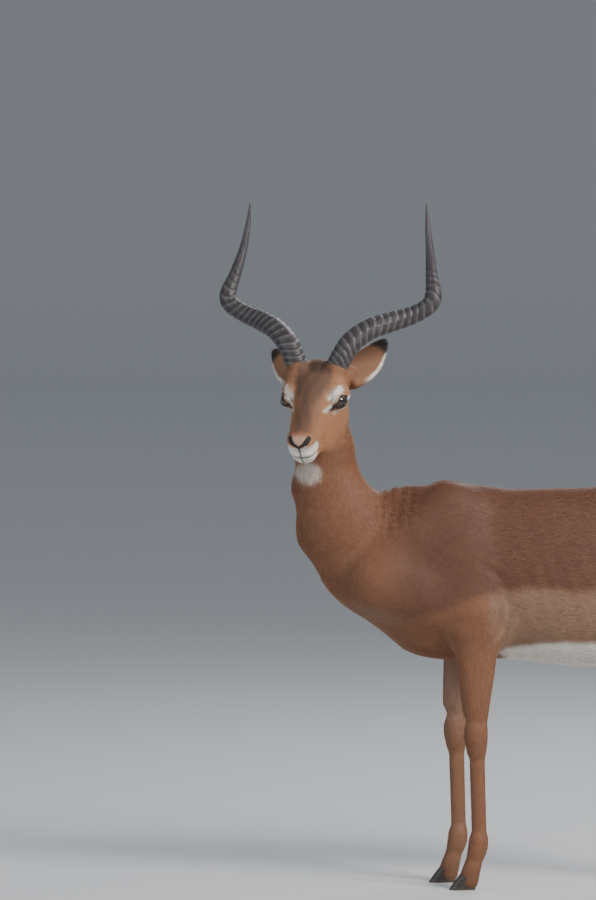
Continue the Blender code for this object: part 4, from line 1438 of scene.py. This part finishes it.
random = np.random.default_rng(41)
roots, normals, marks, part, lies = scattered(skin.data, random)
sizes = np.array([COAT[name] for name in PARTS])[part]
local = head_local(roots)
height = roots[:, 2]

# Shorter on the muzzle, round the eyes and on the feet.
muzzle = smooth_step(0.06, 0.13, local[:, 0]) * (part == HEAD)
foot = smooth_step(0.40, 0.10, height)
vary = np.clip(1.0 + 0.22 * random.standard_normal(len(roots)), 0.5, 1.6)
near_eye = smooth_step(0.055, 0.040, eye_reach(local))
lengths = sizes[:, 1] * vary * (1.0 - 0.45 * muzzle) * (1.0 - 0.35 * foot) * (1.0 - 0.45 * near_eye)
widths = sizes[:, 2] * (0.8 + 0.4 * random.random(len(roots))) * (1.0 - 0.30 * muzzle)
lifts = sizes[:, 3] * (0.5 + random.random(len(roots)))

# Longer and shaggier in the black tuft above each hind fetlock.
heel = marks[:, MARKS.index("black")] * (height < 0.25) * (height > 0.13) * (part == HIND)
lengths = lengths * (1.0 + 1.2 * heel)
lifts = lifts * (1.0 + 2.5 * heel)

# Short and raised inside the ears, with a long white fringe along their edges.
cup = np.zeros(len(roots))
for name in SIDE:
    reach, wide, behind = ear_place(roots, name)
    mine = (part == EARS) & (reach > 0.0) & (reach < 1.1) & (np.abs(wide) < 1.3)
    cup[mine] = smooth_step(0.0, 0.4, normals[mine] @ ear_frame(name)[2])
fringe = marks[:, MARKS.index("white")] * (part == EARS) * (1.0 - cup)
lengths = lengths * (1.0 + 0.7 * fringe) * (1.0 - 0.35 * cup)
lifts = lifts + 0.0010 * cup

# Long down the tail, where it fills out the plume, and shorter again towards its end.
on_tail = part == TAIL
tail_end = smooth_step(0.84, 0.78, height) * on_tail
plume = (0.25 + 0.75 * tail_end, np.clip((height - 0.52) / 0.10, 0.3, 1.0))
lengths = np.where(on_tail, lengths * plume[0] * plume[1], lengths)
lifts = np.where(on_tail, lifts * (0.2 + 0.8 * tail_end), lifts)

# A little untidy, in soft swirls, and flat on the skin. Tufts with no clear direction are left out.
around = np.cross(normals, lies)
swing = sizes[:, 4] * random.standard_normal(len(roots))
swirl = 0.16 * np.sin(roots[:, 0] * 37.0 + 2.0 * np.sin(height * 29.0)) * (part != EARS)
lies = lies + around * (swing + swirl)[:, None]
lies = lies - normals * (lies * normals).sum(axis=1)[:, None]
straight = np.linalg.norm(lies, axis=1)
keep = straight > 0.15
lies = lies / straight[:, None]
tufts = (roots, normals, marks, part, lies, lengths, widths, lifts)
roots, normals, marks, part, lies, lengths, widths, lifts = (values[keep] for values in tufts)
hair = hide_material("hair", 0.55, 0.18, 900.0, 0.0002, shaded=True)


def add_coat(label, mine):
    """One piece of the coat, from the tufts chosen for it."""
    chosen = (values[mine] for values in (roots, normals, marks, lies, lengths, widths, lifts))
    places = to_square(unwrapped(roots[mine], part[mine]))
    mesh = tuft_mesh(label, *chosen, places, random)
    mesh.materials.append(hair)
    coat = bpy.data.objects.new(label, mesh)
    bpy.context.scene.collection.objects.link(coat)
    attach(coat, "root")


TRUNK_SPLIT = 0.17
on_head = (part == HEAD) | (part == EARS)
side_name = np.where(np.where(on_head, -head_local(roots)[:, 1], roots[:, 1]) < 0, "left", "right")
end_name = np.where(roots[:, 0] < TRUNK_SPLIT, "front", "rear")
for index, part_name in enumerate(PARTS):
    for name in SIDE:
        label = "coat_%s_%s" % (part_name, name)
        mine = (part == index) & (side_name == name)
        if part_name == "trunk":
            for end in ("front", "rear"):
                add_coat(label + "_" + end, mine & (end_name == end))
        else:
            add_coat(label, mine)


# ---- Horns --------------------------------------------------------------------------------------
# Hollow sheaths of horn on bony cores, drawn as closed forms. Raised rings run slantwise round
# the lower two thirds, closest at the base, and the tips are smooth.

# Down a horn's middle: out to its side, back and up from the seat, and its radius.
HORN_LINE = np.array([
    (0.030, 0.012, -0.016, 0.0225),
    (0.048, 0.010, 0.014, 0.0240),
    (0.073, 0.022, 0.058, 0.0240),
    (0.108, 0.046, 0.087, 0.0232),
    (0.148, 0.076, 0.103, 0.0222),
    (0.192, 0.098, 0.118, 0.0200),
    (0.227, 0.106, 0.138, 0.0193),
    (0.237, 0.113, 0.162, 0.0186),
    (0.227, 0.137, 0.206, 0.0134),
    (0.2165, 0.162, 0.258, 0.0092),
    (0.2085, 0.174, 0.312, 0.0058),
    (0.204, 0.178, 0.362, 0.0020),
])
HORN_SEAT = (-0.046, 0.0, 0.046)
HORN_STATIONS = 460
HORN_SIDES = 36
RING_GAPS = (0.0095, 0.0185)
RINGS_END = 0.370
RING_HEIGHT = 0.0020
RING_SLANT = 0.55
CREST_WIDTH = 0.20


def horn_curve(name, count):
    """Even stations along a horn: its middle line, radius, direction and length so far."""
    side = -SIDE[name]
    knots = np.linspace(0.0, 1.0, len(HORN_LINE))
    fine = np.linspace(0.0, 1.0, 1500)
    side_step, back, up, radius = (smooth_curve(fine, knots, HORN_LINE[:, i]) for i in range(4))
    seat = head_point(*HORN_SEAT)
    line = np.array([seat + turned(side * a, b, c) for a, b, c in zip(side_step, back, up)])
    length = np.concatenate([[0.0], np.cumsum(np.linalg.norm(np.diff(line, axis=0), axis=1))])
    at = np.linspace(0.0, length[-1], count)
    line = np.column_stack([np.interp(at, length, line[:, i]) for i in range(3)])
    for _ in range(6):
        line[1:-1] = (line[:-2] + 2.0 * line[1:-1] + line[2:]) / 4.0
    ahead = np.gradient(line, axis=0)
    ahead /= np.linalg.norm(ahead, axis=1)[:, None]
    return line, np.interp(at, length, radius), ahead, at


def horn_rings(name, line, radius, ahead, at):
    """The points round the horn at each station, and how near each is to a ring's crest."""
    side = -SIDE[name]
    turns = np.linspace(0.0, 2.0 * math.pi, HORN_SIDES, endpoint=False)
    across = np.cross(ahead, -turned(0.0, 1.0, -0.2))
    across /= np.linalg.norm(across, axis=1)[:, None]
    face = np.cross(across, ahead)
    phase_at = np.linspace(0.0, at[-1], 800)
    gap = np.interp(phase_at, [0.0, 0.10, 0.30], [RING_GAPS[0], RING_GAPS[1], RING_GAPS[1]])
    phase = np.concatenate([[0.0], np.cumsum(np.diff(phase_at) / gap[1:])])
    for middle, size, sideways, forward, reach in zip(line, radius, across, face, at):
        slanted = reach + RING_SLANT * size * np.cos(turns + side * 0.8)
        turn = np.interp(np.clip(slanted, 0.0, at[-1]), phase_at, phase) % 1.0
        crest = np.exp(-((turn - 0.5) / CREST_WIDTH) ** 2) + 0.18 * np.sin(turn * 12.0)
        worn = 0.75 + 0.25 * np.sin(reach * 91.0) * np.sin(reach * 37.0 + 1.0)
        strength = smooth_step(RINGS_END + 0.05, RINGS_END - 0.05, reach)
        strength = strength * smooth_step(0.004, 0.014, reach)
        front_side = 0.62 + 0.38 * np.sin(turns)
        relief = RING_HEIGHT * strength * worn * front_side * (crest - 1.0)
        furrow = 0.00035 * np.sin(turns * 9.0 + reach * 14.0) * smooth_step(0.0030, 0.0090, size)
        extent = size * (1.0 + 0.03 * np.cos(2.0 * turns)) + relief + furrow
        round_it = [math.cos(turn) * sideways + math.sin(turn) * forward for turn in turns]
        yield middle + extent[:, None] * np.array(round_it), strength * np.clip(crest, 0.0, 1.0)


def add_fan(form, ring, tip):
    """Closes a ring with three-sided faces that meet at a tip."""
    for i in range(len(ring)):
        form.faces.new((ring[i], ring[(i + 1) % len(ring)], tip))


def add_horn(name):
    line, radius, ahead, at = horn_curve(name, HORN_STATIONS)
    form = bmesh.new()
    # The ring value on each point is the mask for the painted highlight on the crests and the
    # painted shade in the grooves.
    ring_layer = form.verts.layers.float.new("ring")
    along_layer = form.verts.layers.float.new("along")
    rings = []
    for reach, (places, crests) in zip(at, horn_rings(name, line, radius, ahead, at)):
        ring = [form.verts.new(place) for place in places]
        for vert, crest in zip(ring, crests):
            vert[ring_layer] = float(crest)
            vert[along_layer] = float(reach / at[-1])
        rings.append(ring)
    add_rings(form, rings)
    form.faces.new(rings[0][::-1])
    tip = form.verts.new(line[-1] + ahead[-1] * radius[-1] * 1.6)
    tip[along_layer] = 1.0
    add_fan(form, rings[-1], tip)
    bmesh.ops.recalc_face_normals(form, faces=form.faces)
    horn = made_object("horn_" + name + "_sheath", form)
    horn.data.materials.append(horn_surface)
    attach(horn, "root")
    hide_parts("horn_" + name)


# The groove colour is painted shade and the crest colour a painted highlight on the rings; the tip
# colour is the horn's own.
HORN_COLOURS = {"groove": srgb(46, 42, 44), "crest": srgb(84, 79, 80), "tip": srgb(64, 60, 64)}


def horn_material():
    """Grey-brown horn, with a painted highlight on the crests of the rings and painted shade in the
    grooves.
    """
    material, tree, shader = new_material("horn", {"Roughness": 0.48})
    streaks = add_grain(tree, 160.0, 5.0, stretch=(1.0, 1.0, 0.35))
    colour = mixed(tree, painted(tree, "ring"), HORN_COLOURS["groove"], HORN_COLOURS["crest"])
    tip = add_node(tree, "ValToRGB", {"Fac": painted(tree, "along")})
    tip.color_ramp.elements[0].position = 0.55
    tip.color_ramp.elements[1].position = 0.80
    colour = mixed(tree, tip.outputs["Color"], colour, HORN_COLOURS["tip"])
    colour = mixed(tree, 0.75, colour, streaks, blend="OVERLAY")
    set_inputs(tree, shader, {"Base Color": colour})
    add_relief(tree, shader, streaks, 0.0010, strength=0.7)
    return material


horn_surface = horn_material()
for name in SIDE:
    add_horn(name)


# ---- Eyes ---------------------------------------------------------------------------------------
# Each is a ball with a slightly raised front: near-black brown, with a long level pupil and a
# darker rim, wet and very glossy. It sits in its socket, held by the two lids.

BALL_INSET = 0.0003
BALL_SIDES = 64
BALL_LEVELS = 48
CORNEA_RISE = 0.0006


EYE_COLOURS = {
    "brown": srgb(28, 17, 12),
    "light brown": srgb(50, 30, 19),
    "rim": srgb(22, 17, 16),
    "pupil": srgb(7, 7, 12),
}
# Half the pupil's length and half its height.
PUPIL = (0.0078, 0.0046)


def eye_material():
    """Wet and glossy: a brown iris, darker round its edge, and a blue-black pupil."""
    values = {"Roughness": 0.06, "Coat Weight": 1.0, "Coat Roughness": 0.02, "IOR": 1.38}
    material, tree, shader = new_material("eye", values)
    fibres = add_grain(tree, 700.0, 2.0)
    colour = mixed(tree, fibres, EYE_COLOURS["brown"], EYE_COLOURS["light brown"])
    colour = mixed(tree, painted(tree, "iris"), EYE_COLOURS["rim"], colour)
    colour = mixed(tree, painted(tree, "pupil"), colour, EYE_COLOURS["pupil"])
    set_inputs(tree, shader, {"Base Color": colour})
    return material


def ball_form(radius):
    """A ball of level rings, closed by a fan of faces at its bottom and its top."""
    form = bmesh.new()
    turns = np.linspace(0.0, 2.0 * math.pi, BALL_SIDES, endpoint=False)
    rings = []
    for rise in np.linspace(-math.pi / 2.0, math.pi / 2.0, BALL_LEVELS + 1)[1:-1]:
        reach, height = radius * math.cos(rise), radius * math.sin(rise)
        places = [(reach * math.cos(turn), reach * math.sin(turn), height) for turn in turns]
        rings.append([form.verts.new(place) for place in places])
    add_rings(form, rings)
    add_fan(form, rings[0][::-1], form.verts.new((0.0, 0.0, -radius)))
    add_fan(form, rings[-1], form.verts.new((0.0, 0.0, radius)))
    return form


eye_surface = eye_material()
for name in SIDE:
    side = -SIDE[name]
    form = ball_form(EYE_RADIUS - BALL_INSET)
    centre = head_point(*eye_middle(side))
    points = np.array([vert.co for vert in form.verts]) + centre
    outward, ahead, high = eye_local(points, side)
    toward = outward / (EYE_RADIUS - BALL_INSET)
    swell = 1.0 + CORNEA_RISE / EYE_RADIUS * smooth_step(0.55, 0.95, toward)
    points = centre + (points - centre) * swell[:, None]
    iris = smooth_step(0.50, 0.60, toward)
    pupil = smooth_step(1.15, 0.85, np.hypot(ahead / PUPIL[0], high / PUPIL[1])) * (outward > 0)
    iris_layer = form.verts.layers.float.new("iris")
    pupil_layer = form.verts.layers.float.new("pupil")
    for vert, place, brown, black in zip(form.verts, points, iris, pupil):
        vert.co = place
        vert[iris_layer] = float(brown)
        vert[pupil_layer] = float(black)
    eye = made_object("eyeball_" + name, form)
    eye.data.materials.append(eye_surface)
    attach(eye, "root")
    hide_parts("eye_" + name)


# ---- Hooves -------------------------------------------------------------------------------------
# Cloven: two narrow pointed claws of horn on each foot, flat below, with fine growth lines round
# the wall. Each grows down over the last toe bone from the coronet, where the hair ends.

FOOT_SPREAD = 0.0725
CLAW_HEEL = 0.022
CLAW_WIDTH = 0.0185
CLAW_SPLIT = 0.0012
CORONET_HEIGHT = 0.030
CORONET_SLOPE = math.radians(14.0)
CLAW_SIDES = 40
CLAW_LEVELS = 22
HIND_FOOT = 0.529


CLAW_COLOURS = {"dark": srgb(34, 30, 29), "light": srgb(74, 66, 60), "worn": srgb(96, 86, 76)}


def claw_material():
    """Dark horn, scuffed paler towards the ground."""
    material, tree, shader = new_material("hoof", {"Roughness": 0.38})
    grain = add_grain(tree, 260.0, 4.0)
    colour = mixed(tree, grain, CLAW_COLOURS["dark"], CLAW_COLOURS["light"])
    reach = {"Value": painted(tree, "height"), "From Min": 0.25, "From Max": 0.0, "To Max": 0.5}
    worn = add_node(tree, "MapRange", reach).outputs["Result"]
    colour = mixed(tree, worn, colour, CLAW_COLOURS["worn"])
    set_inputs(tree, shader, {"Base Color": colour})
    add_relief(tree, shader, grain, 0.0006)
    return material


def add_claw(node, middle, outer):
    """One claw from the sole up to the sloping coronet. outer is the side of the foot it is on."""
    form = bmesh.new()
    layer = form.verts.layers.float.new("height")
    angles = np.linspace(0.0, 1.0, CLAW_SIDES)
    rings = []
    for part in np.linspace(0.0, 1.0, CLAW_LEVELS):
        toe = -CLAW_TOE + 0.024 * part
        heel = CLAW_HEEL + 0.007 * part
        width = CLAW_WIDTH * (0.95 + 0.05 * smooth_step(0.0, 0.12, part) - 0.02 * part)
        lines = 0.00022 * math.sin(part * 46.0) * float(smooth_step(0.03, 0.10, part))
        outline = [(toe + (heel - toe) * a, CLAW_SPLIT / 2.0) for a in angles[::-1][::4]]
        for a in angles:
            swell = max(math.sin(math.pi * a ** 0.62), 0.0) ** 0.62
            wall = CLAW_SPLIT / 2.0 + (width + lines) * (0.22 + 0.78 * swell)
            outline.append((toe + (heel - toe) * a, wall))
        ring = []
        for x, y in outline:
            height = part * (CORONET_HEIGHT - math.tan(CORONET_SLOPE) * x)
            vert = form.verts.new((middle[0] + x, middle[1] + outer * y, height))
            vert[layer] = float(part)
            ring.append(vert)
        rings.append(ring)
    add_rings(form, rings)
    form.faces.new(rings[0][::-1])
    form.faces.new(rings[-1])
    bmesh.ops.remove_doubles(form, verts=form.verts, dist=0.00005)
    bmesh.ops.recalc_face_normals(form, faces=form.faces)
    bmesh.ops.triangulate(form, faces=[face for face in form.faces if len(face.verts) > 4])
    claw = made_object("claw_" + node[5:], form)
    claw.data.set_sharp_from_angle(angle=math.radians(40.0))
    claw.data.materials.append(claw_surface)
    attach(claw, "root")
    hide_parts(node)


claw_surface = claw_material()
FEET = {"fore": (FORE_FOOT, FORE_STEP), "hind": (HIND_FOOT, HIND_STEP)}
for leg, (foot_x, steps) in FEET.items():
    for name, side in SIDE.items():
        middle = (foot_x + steps[name], side * FOOT_SPREAD)
        for which, outer in (("inner", -side), ("outer", side)):
            add_claw("hoof_%s_%s_%s" % (leg, name, which), middle, outer)
